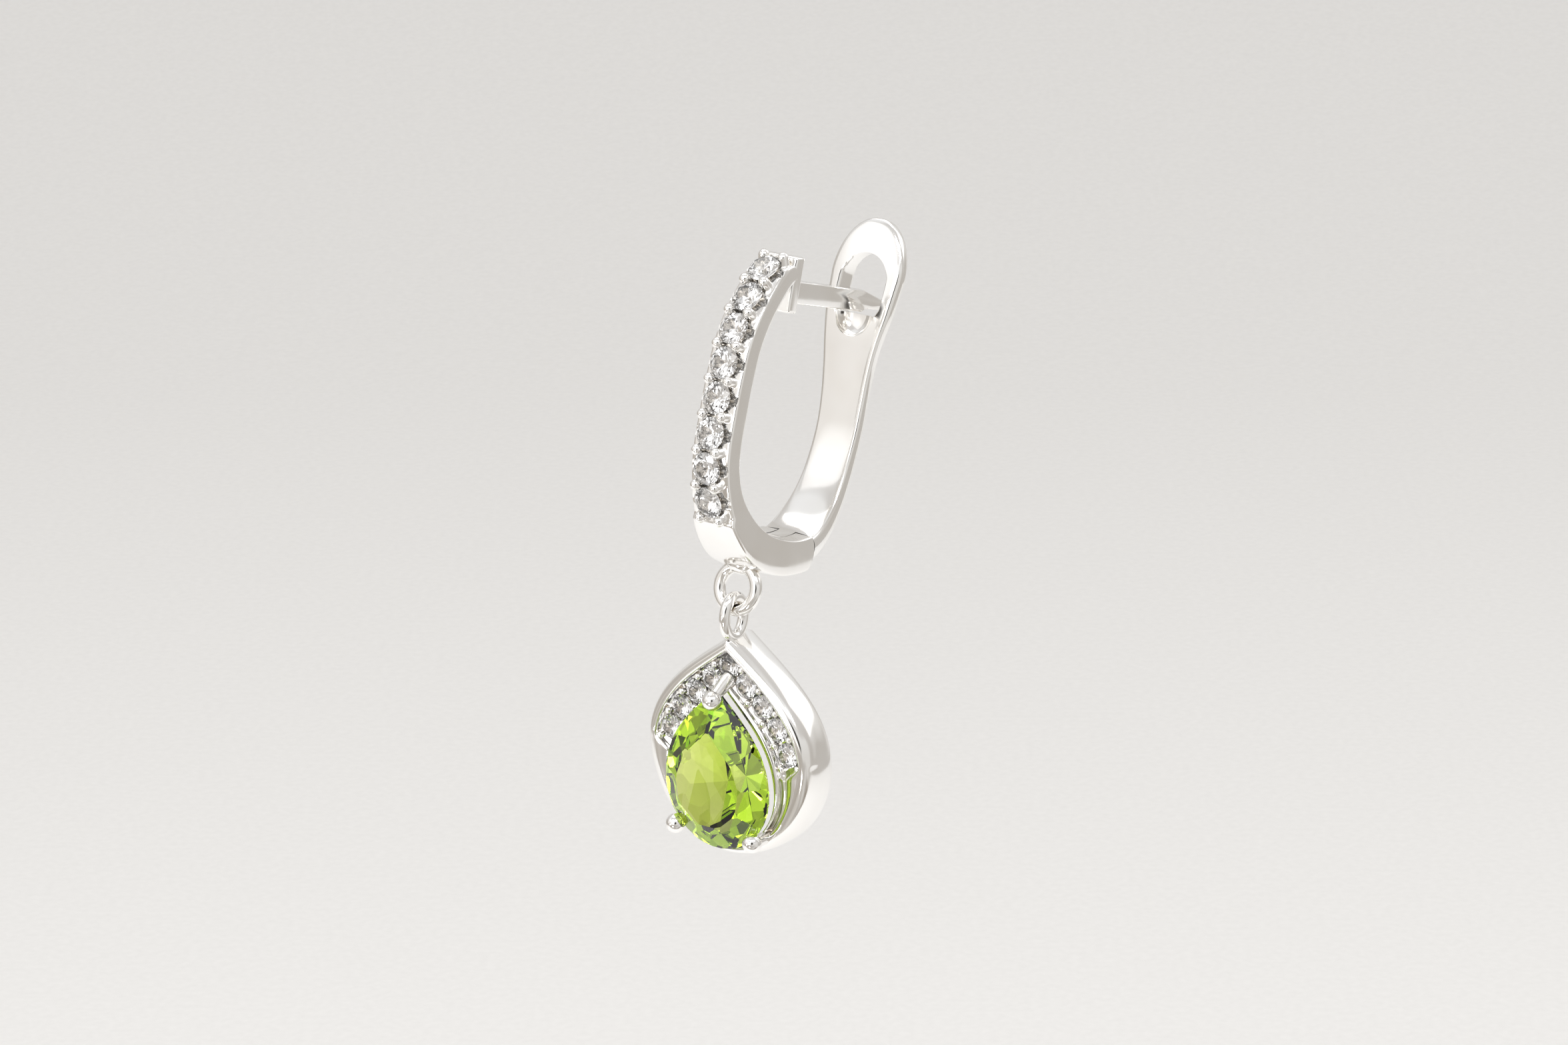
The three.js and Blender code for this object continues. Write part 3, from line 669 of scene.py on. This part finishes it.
def lever_corners(half, thickness):
    return [(wide * half, deep * thickness) for wide, deep in LEVER_CORNERS]


def section_ring(inner, outward, corners):
    """A rounded section from the corners on its right half, each with its distance and depth."""
    right = [inner + deep * outward + np.array((wide, 0, 0)) for wide, deep in corners]
    left = [inner + deep * outward - np.array((wide, 0, 0)) for wide, deep in corners]
    return soften(np.array(right + left[::-1]), rounds=3)


def bar_skin():
    """The plain bar, thinner where the stones are set, so that the smooth front has a ledge."""
    faces = np.array([bar_run.face(i / BAR_STATIONS) for i in range(BAR_STATIONS + 1)])
    steps = np.linalg.norm(np.diff(faces, axis=0), axis=1)
    along = np.concatenate([[0], np.cumsum(steps)])
    pave_end = FIRST_STONE + (BAR_STONES - 0.5) * (BAR_STONE + BAR_STONE_GAP) + BAR_BEAD
    rings = []
    for i in range(BAR_STATIONS + 1):
        share = i / BAR_STATIONS
        width, thickness = bar_run.sizes(share)
        thickness -= PAVE_SINK * (1 - smooth_step(along[i], pave_end, pave_end + LEDGE_LENGTH))
        rings.append(section_ring(bar_run.point(share), bar_run.outward(share),
                                  bar_corners(width / 2, thickness)))
    return skin("bar", rings)


def lever_skin():
    """The lever without its cuts: the back up to the middle of the head, and the head's round end."""
    rings = []
    for i in range(LEVER_STATIONS):
        share = i / LEVER_STATIONS
        width, thickness = lever_run.sizes(share)
        rings.append(section_ring(lever_run.point(share), lever_run.outward(share),
                                  lever_corners(width / 2, thickness)))
    middle = lever_run.point(1)
    along = direction(lever_run.point, 1)
    out = lever_run.outward(1)
    width, thickness = lever_run.sizes(1)
    length = (HEAD_RISE - middle[2]) / along[2]
    for i in range(HEAD_STATIONS + 1):
        turn = i / HEAD_STATIONS * HEAD_TURN
        closing = math.sqrt(1 - (2 * turn / math.pi) ** HEAD_EDGE_POWER)
        thinning = HEAD_END_THICKNESS + (1 - HEAD_END_THICKNESS) * math.cos(turn)
        thin = thickness * thinning * closing
        inner = middle + along * length * math.sin(turn) + out * (thickness - thin) * HEAD_INNER_SHARE
        rings.append(section_ring(inner, out, lever_corners(width / 2 * math.cos(turn), thin)))
    return skin("lever", rings)


bar_face = [bar_run.face(share) for share in np.linspace(0, 1, 401)]


def bar_places():
    """Middles and outward directions of the bar's stones, and of the bead pairs between them."""
    face = even_points(bar_face, 1201)
    step = np.linalg.norm(face[1] - face[0])

    def at(distance):
        index = distance / step
        low = max(int(index), 0)
        along = face[low + 2] - face[max(low - 2, 0)]
        along /= np.linalg.norm(along)
        point = face[low] + (face[low + 1] - face[low]) * (index - low)
        return point, np.array((0, along[2], -along[1]))

    pitch = BAR_STONE + BAR_STONE_GAP
    stones = [at(FIRST_STONE + i * pitch) for i in range(BAR_STONES)]
    beads = [at(FIRST_STONE + (i - 0.5) * pitch) for i in range(BAR_STONES + 1)]
    return stones, beads


def bar_underside(y):
    """Height of the bar's lowest face at a place along Y."""
    near = 0.05
    return min(point[2] for point in bar_face if abs(point[1] - y) < near)


stone_places, bead_places = bar_places()
ring_radius = (RING_WIDTH - RING_WIRE) / 2
ring_middle = bar_underside(-RING_FRONT) + RING_SOLDER - RING_WIDTH / 2

# Width and reach of cutters that go right through
WIDE = 4 * BAR_WIDTH
FAR = 2 * INNER_DROP


def post_piece():
    half = POST_WIRE / 2
    tip = BACK_REACH + POST_OVERHANG
    outline = [
        (PLATE_FRONT + POST_ROOT, -half),
        (BACK_REACH - POST_NOTCH, -half),
        (BACK_REACH + POST_NOTCH, -half + POST_NOTCH),
        (BACK_REACH + LEVER_THICKNESS, -half + POST_NOTCH),
        (tip, -half + 2 * POST_NOTCH),
        (tip, 0.1 * half),
        (tip - POST_TAPER, half),
        (PLATE_FRONT + POST_ROOT, half),
    ]
    return bevel(side_extrusion("post", outline, POST_WIRE), POST_BEVEL, 20, 3)


def plate_piece():
    outline = [
        (PLATE_FRONT, -PLATE_DROP),
        (PLATE_BACK, -PLATE_DROP),
        (PLATE_BACK, PLATE_RISE),
        (PLATE_FRONT, PLATE_RISE - PLATE_SLOPE),
    ]
    return bevel(side_extrusion("plate", outline, BAR_WIDTH - PLATE_INDENT), PLATE_BEVEL, 40, 4)


def front_bar(material):
    """The front bar with cups, beads, seats, plate, post and ring. It ends where the lever begins."""
    past_seam = block("past_seam", WIDE, (HINGE[0], FAR), (-FAR, HINGE[1] + 2 * SEAM_RADIUS))
    past_seam = combine(past_seam, [cross_pin("ear", SEAM_RADIUS, 2 * WIDE, *HINGE)], "DIFFERENCE")
    slot_front = HINGE[0] - TONGUE_RADIUS - HINGE_GAP
    tongue_slot = block("tongue_slot", TONGUE_WIDTH + 2 * HINGE_GAP, (slot_front, FAR),
                        (-FAR, HINGE[1] + 2 * SEAM_RADIUS))
    bar = combine(bar_skin(), [past_seam], "DIFFERENCE")
    bar = combine(bar, [tongue_slot], "DIFFERENCE")
    scallops = []
    for k, (point, outward) in enumerate(stone_places):
        middle = point + outward * SCALLOP_LIFT
        scallops.append(cross_pin(f"scallop_{k}", SCALLOP_RADIUS, WIDE, middle[1], middle[2], 64))
    bar = combine(bar, scallops, "DIFFERENCE")
    beads = []
    for point, outward in bead_places:
        for side in (-1, 1):
            foot = point - outward * BAR_BEAD_RISE
            foot[0] = side * BAR_BEAD_SPREAD * BAR_STONE
            profile = dome_profile(BAR_BEAD, 2 * BAR_BEAD_RISE, BAR_BEAD_FOOT)
            beads.append(lathe("bead", profile, foot, outward, 20))
    bar = combine(bar, beads, "UNION")
    seats = [seat_cutter("seat", BAR_STONE, point, outward) for point, outward in stone_places]
    bar = combine(bar, seats, "DIFFERENCE")
    bar = combine(bar, [plate_piece()], "UNION")
    bar = combine(bar, [post_piece()], "UNION")
    solder = ball("solder", 1, (0, -RING_FRONT, ring_middle + ring_radius + SOLDER_RISE), SOLDER_SIZE)
    bar = combine(bar, [solder], "UNION")
    ring = wire_ring("ring", RING_WIRE, (1, 0, 0), ring_radius, (0, 0, 1), ring_radius,
                     (0, -RING_FRONT, ring_middle))
    bar = combine(bar, [ring], "UNION")
    settle(bar, "front_hoop", "hoop", HOOP_PLACE, material)


slot_foot = -POST_WIRE / 2 - SLOT_GAP


def slot_cutter():
    """The oval slot through the lever's head, with lips that flare at both faces."""
    foot = slot_foot
    half = SLOT_WIDTH / 2
    outline = [(SLOT_FOOT_WIDTH / 2, foot), (half, foot + SLOT_CORNER_RISE)]
    outline += [(half * math.cos(angle), SLOT_RISE - half + half * math.sin(angle))
                for angle in np.linspace(0, math.pi, 40)]
    outline += [(-half, foot + SLOT_CORNER_RISE), (-SLOT_FOOT_WIDTH / 2, foot)]
    outline = soften(even_points(outline, 96, closed=True), 1)
    centre = np.array((0, (SLOT_RISE + foot) / 2))
    upper_half = np.linspace(0.6, 1, 81)
    inner_face = np.array([lever_run.point(share) for share in upper_half])
    outer_face = np.array([lever_run.face(share) for share in upper_half])

    def depth(line, z):
        return float(np.interp(z, line[:, 2], line[:, 1]))

    rings = []
    for share in SLOT_DEPTHS:
        edge = max(0.0, SLOT_LIP - min(share, 1 - share)) / SLOT_LIP
        flare = SLOT_FLARE * (1 - math.sqrt(max(0.0, 1 - min(edge, 1) ** 2)))
        flare += SLOT_FLARE * max(0.0, edge - 1)
        ring = []
        for x, z in outline:
            away = np.array((x, z)) - centre
            x_out, z_out = np.array((x, z)) + away / np.linalg.norm(away) * flare
            near, far = depth(inner_face, z_out), depth(outer_face, z_out)
            ring.append((x_out, near + (far - near) * share, z_out))
        rings.append(np.array(ring))
    return skin("slot", rings)


def lever_piece(material):
    """The lever behind the seam, with the tongue that goes on to the hinge, the slot and the scoop."""
    whole = lever_skin()
    cut_radius = SEAM_RADIUS + HINGE_GAP
    tongue_back = HINGE[0] + cut_radius + 3 * HINGE_GAP
    tongue = block("tongue", TONGUE_WIDTH, (HINGE[0], tongue_back), (-FAR, FAR))
    tongue = combine(tongue, [copy_of(whole)], "INTERSECT")
    disc = cross_pin("disc", HINGE_SINK, TONGUE_WIDTH, *HINGE)
    before_seam = block("before_seam", WIDE, (-FAR, HINGE[0]), (-FAR, FAR))
    lever = combine(whole, [before_seam], "DIFFERENCE")
    lever = combine(lever, [cross_pin("room", cut_radius, WIDE, *HINGE)], "DIFFERENCE")
    lever = combine(lever, [tongue], "UNION")
    lever = combine(lever, [disc], "UNION")
    lever = combine(lever, [slot_cutter()], "DIFFERENCE")
    scoop = ball("scoop", 1, (0, SCOOP_MIDDLE, slot_foot), SCOOP_SIZE, 5)
    lever = combine(lever, [scoop], "DIFFERENCE")
    settle(lever, "lever", "lever", HOOP_PLACE, material)


def copy_of(piece):
    return linked(piece.name + "_copy", piece.data.copy())


def pin_piece(material):
    """The rivet, with rounded ends that stop just short of the bar's sides."""
    width_at_hinge = bar_run.sizes(0.93)[0]
    length = 0.985 * width_at_hinge
    profile = [(0.02, 0), (0.7 * PIN_RADIUS, 0.01), (0.96 * PIN_RADIUS, 0.04), (PIN_RADIUS, 0.1)]
    rows = profile + [(radius, length - height) for radius, height in reversed(profile)]
    pin = lathe("pin", rows, (-length / 2, *HINGE), (1, 0, 0), 48)
    settle(pin, "hinge_pin", "hoop", HOOP_PLACE, material)


def place_stones(name, gem, places, body, place, material):
    """A copy of the gem at each place, each turned a little further, so that no two look the same."""
    for k, (point, outward) in enumerate(places):
        stone = copy_of(gem)
        turn = Vector((0, 0, 1)).rotation_difference(Vector(outward)).to_matrix().to_4x4()
        spin = Matrix.Rotation(STONE_SPIN * k, 4, "Z")
        stone.data.transform(Matrix.Translation(Vector(point)) @ turn @ spin)
        settle(stone, f"{name}_{k + 1}", body, place, material, smooth_angle=0)
    remove(gem)


# Pendant

loop_top = RING_WIRE / 2 + LINK_GAP + LOOP_WIRE
frame_tip = loop_top - LOOP_HEIGHT + LOOP_SOLDER
frame_widest = frame_tip - FRAME_HEIGHT * (1 - FRAME_FOOT_SHARE)
gem_widest = frame_tip - FRAME_HEIGHT + GEM_FOOT + GEM_HEIGHT * GEM_FOOT_SHARE
halo_face = -PLUMB_SHIFT
PEAR_STATIONS = 288
HALO_SHARE = 0.37

outer_pear = pear_outline(FRAME_WIDTH, FRAME_HEIGHT, FRAME_FOOT_SHARE, PEAR_STATIONS)
outer_pear += (0, frame_widest)
inner_pear = pear_outline(GEM_WIDTH, GEM_HEIGHT, GEM_FOOT_SHARE, PEAR_STATIONS)
inner_pear += (0, gem_widest)

# Heights over which the profile changes from its shape below the pave to the one in it, measured from
# the pave's end: short at the ledge, long where the rim sweeps in
LEDGE_SPAN = (-0.25, 0.05)
SWEEP_SPAN = (-2.4, 0.4)

# Profile from the collar over the halo to the rim and round the back. above and below are shares of
# the way from the gem's outline to the frame's, in the pave and under it. Depths are in millimetres.
FRAME_PROFILE = [
    {"above": -0.15, "below": -0.15, "depth": -COLLAR_LIFT},
    {"above": 0.03, "below": 0.03, "depth": -COLLAR_LIFT},
    {"above": 0.05, "below": 0.05, "depth": 0.04 * FRAME_DEPTH},
    {"above": 0.67, "below": 0.2, "depth": 0.04 * FRAME_DEPTH},
    {"above": 0.69, "below": 0.23, "depth": -0.7 * RIM_LIFT},
    {"above": 0.77, "below": 0.45, "depth": -RIM_LIFT, "span": SWEEP_SPAN},
    {"above": 0.91, "below": 0.78, "depth": -0.65 * RIM_LIFT, "span": SWEEP_SPAN},
    {"above": 0.99, "below": 0.96, "depth": 0.1 * FRAME_DEPTH},
    {"above": 1, "below": 1, "depth": 0.36 * FRAME_DEPTH},
    {"above": 0.95, "below": 0.95, "depth": 0.72 * FRAME_DEPTH},
    {"above": 0.82, "below": 0.82, "depth": 0.86 * FRAME_DEPTH},
    {"above": 0.72, "below": 0.72, "depth": 0.84 * FRAME_DEPTH},
    {"above": 0.6, "below": 0.6, "depth": 0.52 * FRAME_DEPTH},
    {"above": -0.1, "below": -0.1, "depth": 0.46 * FRAME_DEPTH},
]

halo_line = even_points([inner_pear[k] + (outer_pear[k] - inner_pear[k]) * HALO_SHARE
                         for k in range(PEAR_STATIONS // 2 + 1)], 2001)
halo_step = np.linalg.norm(halo_line[1] - halo_line[0])


def halo_point(steps):
    """A place on the line of the halo's stones, in stones from the middle one."""
    index = abs(steps) * (HALO_STONE + HALO_STONE_GAP) / halo_step
    low = int(index)
    x, z = halo_line[low] + (halo_line[low + 1] - halo_line[low]) * (index - low)
    return np.array((math.copysign(abs(x), steps) if steps else 0.0, halo_face, z))


def frame_skin():
    """The pendant's frame: its profile swept round between the two pear outlines."""
    pave_end = halo_point(HALO_STONES_A_SIDE + 0.55)[2]
    rings = []
    for inner, outer in zip(inner_pear, outer_pear):
        height = ((inner + outer) / 2)[1] - pave_end
        rows = []
        for row in FRAME_PROFILE:
            change = smooth_step(height, *row.get("span", LEDGE_SPAN))
            share = row["below"] + (row["above"] - row["below"]) * change
            x, z = inner + (outer - inner) * share
            rows.append((x, halo_face + row["depth"], z))
        rings.append(soften(np.array(rows), rounds=3))
    return skin("setting", rings, loop=True)


def claw(name, foot, top, foot_share=1.0):
    """Round wire from its foot to the middle of its ball."""
    foot, top = np.array(foot, float), np.array(top, float)
    length = np.linalg.norm(top - foot)
    profile = dome_profile(CLAW_WIRE, length + CLAW_WIRE, foot_share)
    return lathe(name, profile, foot, (top - foot) / length, 32)


def setting_claws():
    """Wires and balls of the two lower claws and the upper one."""
    girdle = halo_face - GEM_LIFT
    top = girdle - CLAW_LIFT * CLAW_BALL
    reach = GEM_WIDTH / 2 + CLAW_OUTSET
    wires, balls = [], []
    for side in (-1, 1):
        x = side * reach * math.cos(CLAW_ANGLE)
        z = gem_widest - reach * math.sin(CLAW_ANGLE)
        wires.append(claw("lower_claw", (x, halo_face + CLAW_SINK, z), (x, top, z)))
        balls.append(ball("claw_ball", CLAW_BALL, (x, top, z)))
    tip = inner_pear[0][1]
    start = (0, halo_face + UPPER_CLAW_SINK, tip + UPPER_CLAW_START)
    end = (0, girdle - UPPER_CLAW_LIFT * CLAW_BALL, tip - UPPER_CLAW_END)
    wires.append(claw("upper_claw", start, end, UPPER_CLAW_FOOT))
    balls.append(ball("claw_ball", CLAW_BALL, end))
    return wires, balls


def halo_beads():
    """A pair of bead prongs on each side of every halo stone."""
    beads = []
    near = 0.2
    for k in range(2 * HALO_STONES_A_SIDE + 2):
        steps = k - HALO_STONES_A_SIDE - 0.5
        along = halo_point(steps + near) - halo_point(steps - near)
        along /= np.linalg.norm(along)
        across = np.array((along[2], 0, -along[0]))
        for side in (-1, 1):
            foot = halo_point(steps) + side * HALO_BEAD_SPREAD * HALO_STONE * across
            foot[1] += HALO_BEAD_RISE
            profile = dome_profile(HALO_BEAD, 2 * HALO_BEAD_RISE, HALO_BEAD_FOOT)
            beads.append(lathe("halo_bead", profile, foot, (0, -1, 0), 20))
    return beads


def pendant_setting(material, gem):
    """The frame with beads, seats, loop, claws and the gem's room. Gives the halo stones' places."""
    setting = frame_skin()
    numbers = range(-HALO_STONES_A_SIDE, HALO_STONES_A_SIDE + 1)
    places = [(halo_point(number), (0, -1, 0)) for number in numbers]
    seats = [seat_cutter("seat", HALO_STONE, *place) for place in places]
    setting = combine(setting, halo_beads(), "UNION")
    setting = combine(setting, seats, "DIFFERENCE")
    loop = wire_ring("loop", LOOP_WIRE, (0, 1, 0), (LOOP_DEPTH - LOOP_WIRE) / 2, (0, 0, 1),
                     (LOOP_HEIGHT - LOOP_WIRE) / 2, (0, 0, loop_top - LOOP_HEIGHT / 2))
    setting = combine(setting, [loop], "UNION")
    wires, balls = setting_claws()
    setting = combine(setting, wires, "UNION")
    setting = combine(setting, balls, "UNION")
    room = copy_of(gem)
    room.data.transform(Matrix.Scale(1 + 2 * SEAT_GAP / GEM_WIDTH, 4))
    room.data.transform(gem_place())
    setting = combine(setting, [room], "DIFFERENCE")
    settle(setting, "pendant_setting", "pendant", PENDANT_PLACE, material)
    return places


def gem_place():
    """Stands the gem up with its table to the front, at its lift over the halo."""
    lift = Matrix.Translation((0, halo_face - GEM_LIFT, gem_widest))
    return lift @ Matrix.Rotation(TURN / 4, 4, "X")


# Materials

class Graph:
    """The nodes of a material or a world, and the coordinates in which its patterns lie."""

    def __init__(self, owner, coordinates):
        owner.use_nodes = True
        self.tree = owner.node_tree
        self.coordinates = self.node("ShaderNodeTexCoord", {}).outputs[coordinates]

    def node(self, kind, inputs, **settings):
        """A new node with its settings, and with its inputs fed."""
        node = self.tree.nodes.new(kind)
        for name, value in settings.items():
            setattr(node, name, value)
        self.feed(node, inputs)
        return node

    def feed(self, node, inputs):
        """Links the inputs that are given as another node's output, and sets the others' values."""
        for name, value in inputs.items():
            if isinstance(value, bpy.types.NodeSocket):
                self.tree.links.new(value, node.inputs[name])
            else:
                node.inputs[name].default_value = value

    def noise(self, scale, detail, roughness=0.5):
        inputs = {"Vector": self.coordinates, "Scale": scale, "Detail": detail, "Roughness": roughness}
        return self.node("ShaderNodeTexNoise", inputs).outputs["Fac"]

    def cells(self, scale, stretch, turn, feature="F1"):
        """A pattern of long, slanting cells."""
        slanted = self.node("ShaderNodeMapping",
                            {"Vector": self.coordinates, "Scale": stretch, "Rotation": turn})
        inputs = {"Vector": slanted.outputs["Vector"], "Scale": scale}
        return self.node("ShaderNodeTexVoronoi", inputs, feature=feature)

    def ramp(self, value, low, high):
        """Colours between two stops, each given as a value and the colour there."""
        node = self.node("ShaderNodeValToRGB", {"Fac": value})
        for element, (position, color) in zip(node.color_ramp.elements, (low, high)):
            element.position = position
            element.color = (*color, 1)
        return node.outputs["Color"]

    def multiply(self, first, second):
        inputs = {"Factor": 1.0, "A": first, "B": second}
        node = self.node("ShaderNodeMix", inputs, data_type="RGBA", blend_type="MULTIPLY")
        return node.outputs["Result"]

    def toward(self, azimuth, elevation):
        """How nearly a direction in the room is the given one: 1 there, 0 at a right angle."""
        inputs = {0: self.coordinates, 1: facing(azimuth, elevation)}
        return self.node("ShaderNodeVectorMath", inputs, operation="DOT_PRODUCT").outputs["Value"]


def new_material(name):
    """A material, its graph in the object's own coordinates, and its shader."""
    material = bpy.data.materials.new(name)
    graph = Graph(material, "Object")
    return material, graph, graph.tree.nodes["Principled BSDF"]


def polished_silver():
    """Hand-polished silver: bright, with fine scratches and soft ripples, and painted shade that darkens
    its crevices.
    """
    material, graph, shader = new_material("polished_silver")
    tone = graph.noise(420, 2)
    color = graph.ramp(tone, (0.3, (0.93, 0.915, 0.89)), (0.7, (0.97, 0.965, 0.955)))
    # Painted shade: the colour turns a darker warm grey where the ambient occlusion node finds crevices
    # and tight gaps.
    crevice = graph.node("ShaderNodeAmbientOcclusion", {"Distance": 0.3 * MM}, samples=8)
    painted_crevice_shade = graph.ramp(crevice.outputs["AO"], (0.12, (0.78, 0.74, 0.68)), (0.5, (1, 1, 1)))
    rough = graph.node("ShaderNodeMapRange", {"Value": graph.noise(900, 4, 0.6), "From Min": 0.3,
                                              "From Max": 0.75, "To Min": 0.07, "To Max": 0.17})
    scratches = graph.cells(2600, (1.0, 0.22, 0.16), (0.6, 0.3, 0.9), "DISTANCE_TO_EDGE")
    fine = graph.node("ShaderNodeBump", {"Height": scratches.outputs["Distance"], "Strength": 0.05,
                                         "Distance": 0.01 * MM})
    soft = graph.node("ShaderNodeBump", {"Height": graph.noise(650, 2), "Strength": 0.25,
                                         "Distance": 0.02 * MM, "Normal": fine.outputs["Normal"]})
    graph.feed(shader, {"Metallic": 1.0, "Base Color": graph.multiply(color, painted_crevice_shade),
                        "Roughness": rough.outputs["Result"], "Normal": soft.outputs["Normal"]})
    return material


def clear_stone():
    """Colourless stone with strong refraction and faint differences in tint."""
    material, graph, shader = new_material("white_stone")
    color = graph.ramp(graph.noise(1800, 2), (0.3, (0.97, 0.98, 1)), (0.7, (1, 0.99, 0.98)))
    graph.feed(shader, {"Base Color": color, "Roughness": 0.0, "IOR": 1.95, "Transmission Weight": 0.97})
    return material


def green_stone():
    """Peridot: lime green that deepens with the way through it, in long shards of olive and lime."""
    material, graph, shader = new_material("peridot_green")
    shards = graph.cells(1300, (1.0, 0.45, 0.4), (0.5, 0.9, 0.3))
    tints = graph.node("ShaderNodeSeparateColor", {"Color": shards.outputs["Color"]})
    olive, lime = (0.66, 0.74, 0.14), (0.98, 1, 0.5)
    color = graph.ramp(tints.outputs["Red"], (0.1, olive), (0.85, lime))
    graph.feed(shader, {"Base Color": color, "Roughness": 0.0, "IOR": 1.67, "Transmission Weight": 1.0})
    depth = graph.node("ShaderNodeVolumeAbsorption", {"Color": (0.7, 0.87, 0.0, 1), "Density": 300})
    graph.feed(graph.tree.nodes["Material Output"], {"Volume": depth.outputs["Volume"]})
    return material


def paper():
    """Matt, slightly grainy paper."""
    material, graph, shader = new_material("pale_paper")
    color = graph.ramp(graph.noise(900, 4), (0.3, (0.87, 0.865, 0.855)), (0.7, (0.9, 0.895, 0.885)))
    graph.feed(shader, {"Base Color": color, "Roughness": 0.8})
    return material


# Stage

def sweep(material):
    """A pale floor that rises into a backdrop far behind the earring."""
    width, near, far, height, bend = 1.0, -0.12, 1.3, 1.2, 0.6
    outline = [(near, 0.0)]
    outline += [(far - bend + bend * math.sin(angle), bend - bend * math.cos(angle))
                for angle in np.linspace(0, TURN / 4, 32)]
    outline += [(far, height)]
    points = [(x, y, z - FLOOR_DROP) for y, z in outline for x in (-width / 2, width / 2)]
    faces = [(2 * k, 2 * k + 1, 2 * k + 3, 2 * k + 2) for k in range(len(outline) - 1)]
    floor = new_object("floor_sweep", points, faces)
    floor.data.materials.append(material)
    floor.data.shade_smooth()
    floor.rotation_euler = (0, 0, CAMERA_AZIMUTH)


def facing(azimuth, elevation):
    """Unit direction from the earring. The azimuth is 0 at the front, -Y, and 90 degrees at +X."""
    level = math.cos(elevation)
    return Vector((math.sin(azimuth) * level, -math.cos(azimuth) * level, math.sin(elevation)))


def look_from(holder, back):
    """Turns a lamp or a camera so that it looks against the given direction."""
    holder.rotation_mode = "QUATERNION"
    holder.rotation_quaternion = (-back).to_track_quat("-Z", "Y")


# Soft lights that look at the earring: azimuth and elevation in degrees, distance and size in metres,
# and power in watts
LIGHTS = {
    "key": (-40, 22, 0.6, (0.5, 0.5), 0.28),
    "front": (4, 16, 0.6, (0.4, 0.4), 0.4),
    "back": (150, 35, 0.6, (0.5, 0.4), 0.35),
    "top": (-130, 70, 0.6, (0.5, 0.5), 0.9),
    "backdrop": (38, 50, 1.0, (0.6, 0.3), 1.5),
    "spark_left": (-10, 48, 0.5, (0.06, 0.06), 0.45),
    "spark_right": (75, 42, 0.5, (0.06, 0.06), 0.45),
    "spark_low": (8, -25, 0.5, (0.05, 0.05), 0.25),
    "spark_front": (-22, -6, 0.5, (0.06, 0.06), 0.3),
}


def area_light(name, azimuth, elevation, distance, size, power):
    lamp = bpy.data.lights.new(name, "AREA")
    lamp.shape = "RECTANGLE"
    lamp.size, lamp.size_y = size
    lamp.energy = power
    holder = linked(name, lamp)
    back = facing(math.radians(azimuth), math.radians(elevation))
    holder.location = EARRING_MIDDLE + back * distance
    look_from(holder, back)


def room_light():
    """A pale room, brighter overhead, with soft patches, a table, a dark rock and the photographer."""
    world = bpy.data.worlds.new("room")
    bpy.context.scene.world = world
    graph = Graph(world, "Generated")
    height = graph.node("ShaderNodeSeparateXYZ", {"Vector": graph.coordinates}).outputs["Z"]
    table = graph.toward(math.radians(-38), math.radians(-35))
    person = graph.toward(CAMERA_AZIMUTH, CAMERA_ELEVATION)
    rock = graph.toward(math.radians(120), math.radians(-60))
    clear = (1, 1, 1)
    room = graph.ramp(height, (0.05, (0.8, 0.78, 0.75)), (0.75, clear))
    for value, low, high in (
        (graph.noise(1.6, 1.0), (0.42, (0.74, 0.72, 0.7)), (0.58, clear)),
        (table, (0.3, clear), (0.95, (0.84, 0.81, 0.77))),
        (person, (0.965, clear), (0.985, (0.06, 0.055, 0.05))),
        (rock, (0.72, clear), (0.95, (0.45, 0.38, 0.31))),
    ):
        room = graph.multiply(room, graph.ramp(value, low, high))
    graph.feed(graph.tree.nodes["Background"], {"Color": room, "Strength": 0.88})


def camera():
    """A camera whose frame shows the post's middle at its pixel in the photograph."""
    lens = bpy.data.cameras.new("camera")
    lens.sensor_width = SENSOR_WIDTH
    pixels = PIXELS_PER_MM / MM * CAMERA_DISTANCE
    lens.lens = pixels / PHOTO_WIDTH * SENSOR_WIDTH
    lens.clip_start = 0.01
    holder = linked("camera", lens)
    back = facing(CAMERA_AZIMUTH, CAMERA_ELEVATION)
    right = Vector((math.cos(CAMERA_AZIMUTH), math.sin(CAMERA_AZIMUTH), 0))
    up = back.cross(right)
    across = (POST_PIXEL[0] - PHOTO_WIDTH / 2) / pixels * CAMERA_DISTANCE
    rise = -(POST_PIXEL[1] - PHOTO_HEIGHT / 2) / pixels * CAMERA_DISTANCE
    holder.location = back * CAMERA_DISTANCE - right * across - up * rise
    look_from(holder, back)
    bpy.context.scene.camera = holder


camera()
silver = polished_silver()
white = clear_stone()
green = green_stone()

front_bar(silver)
lever_piece(silver)
pin_piece(silver)
bar_gem = round_gem("brilliant", BAR_STONE)
place_stones("hoop_stone", bar_gem, stone_places, "hoop", HOOP_PLACE, white)

pear = pear_gem("pear")
halo_places = pendant_setting(silver, pear)
pear.data.transform(gem_place())
settle(pear, "peridot", "pendant", PENDANT_PLACE, green, smooth_angle=0)
halo_gem = round_gem("brilliant", HALO_STONE)
place_stones("halo_stone", halo_gem, halo_places, "pendant", PENDANT_PLACE, white)

sweep(paper())
for light_name, values in LIGHTS.items():
    area_light(light_name, *values)
room_light()
bpy.context.scene.view_settings.view_transform = "Standard"
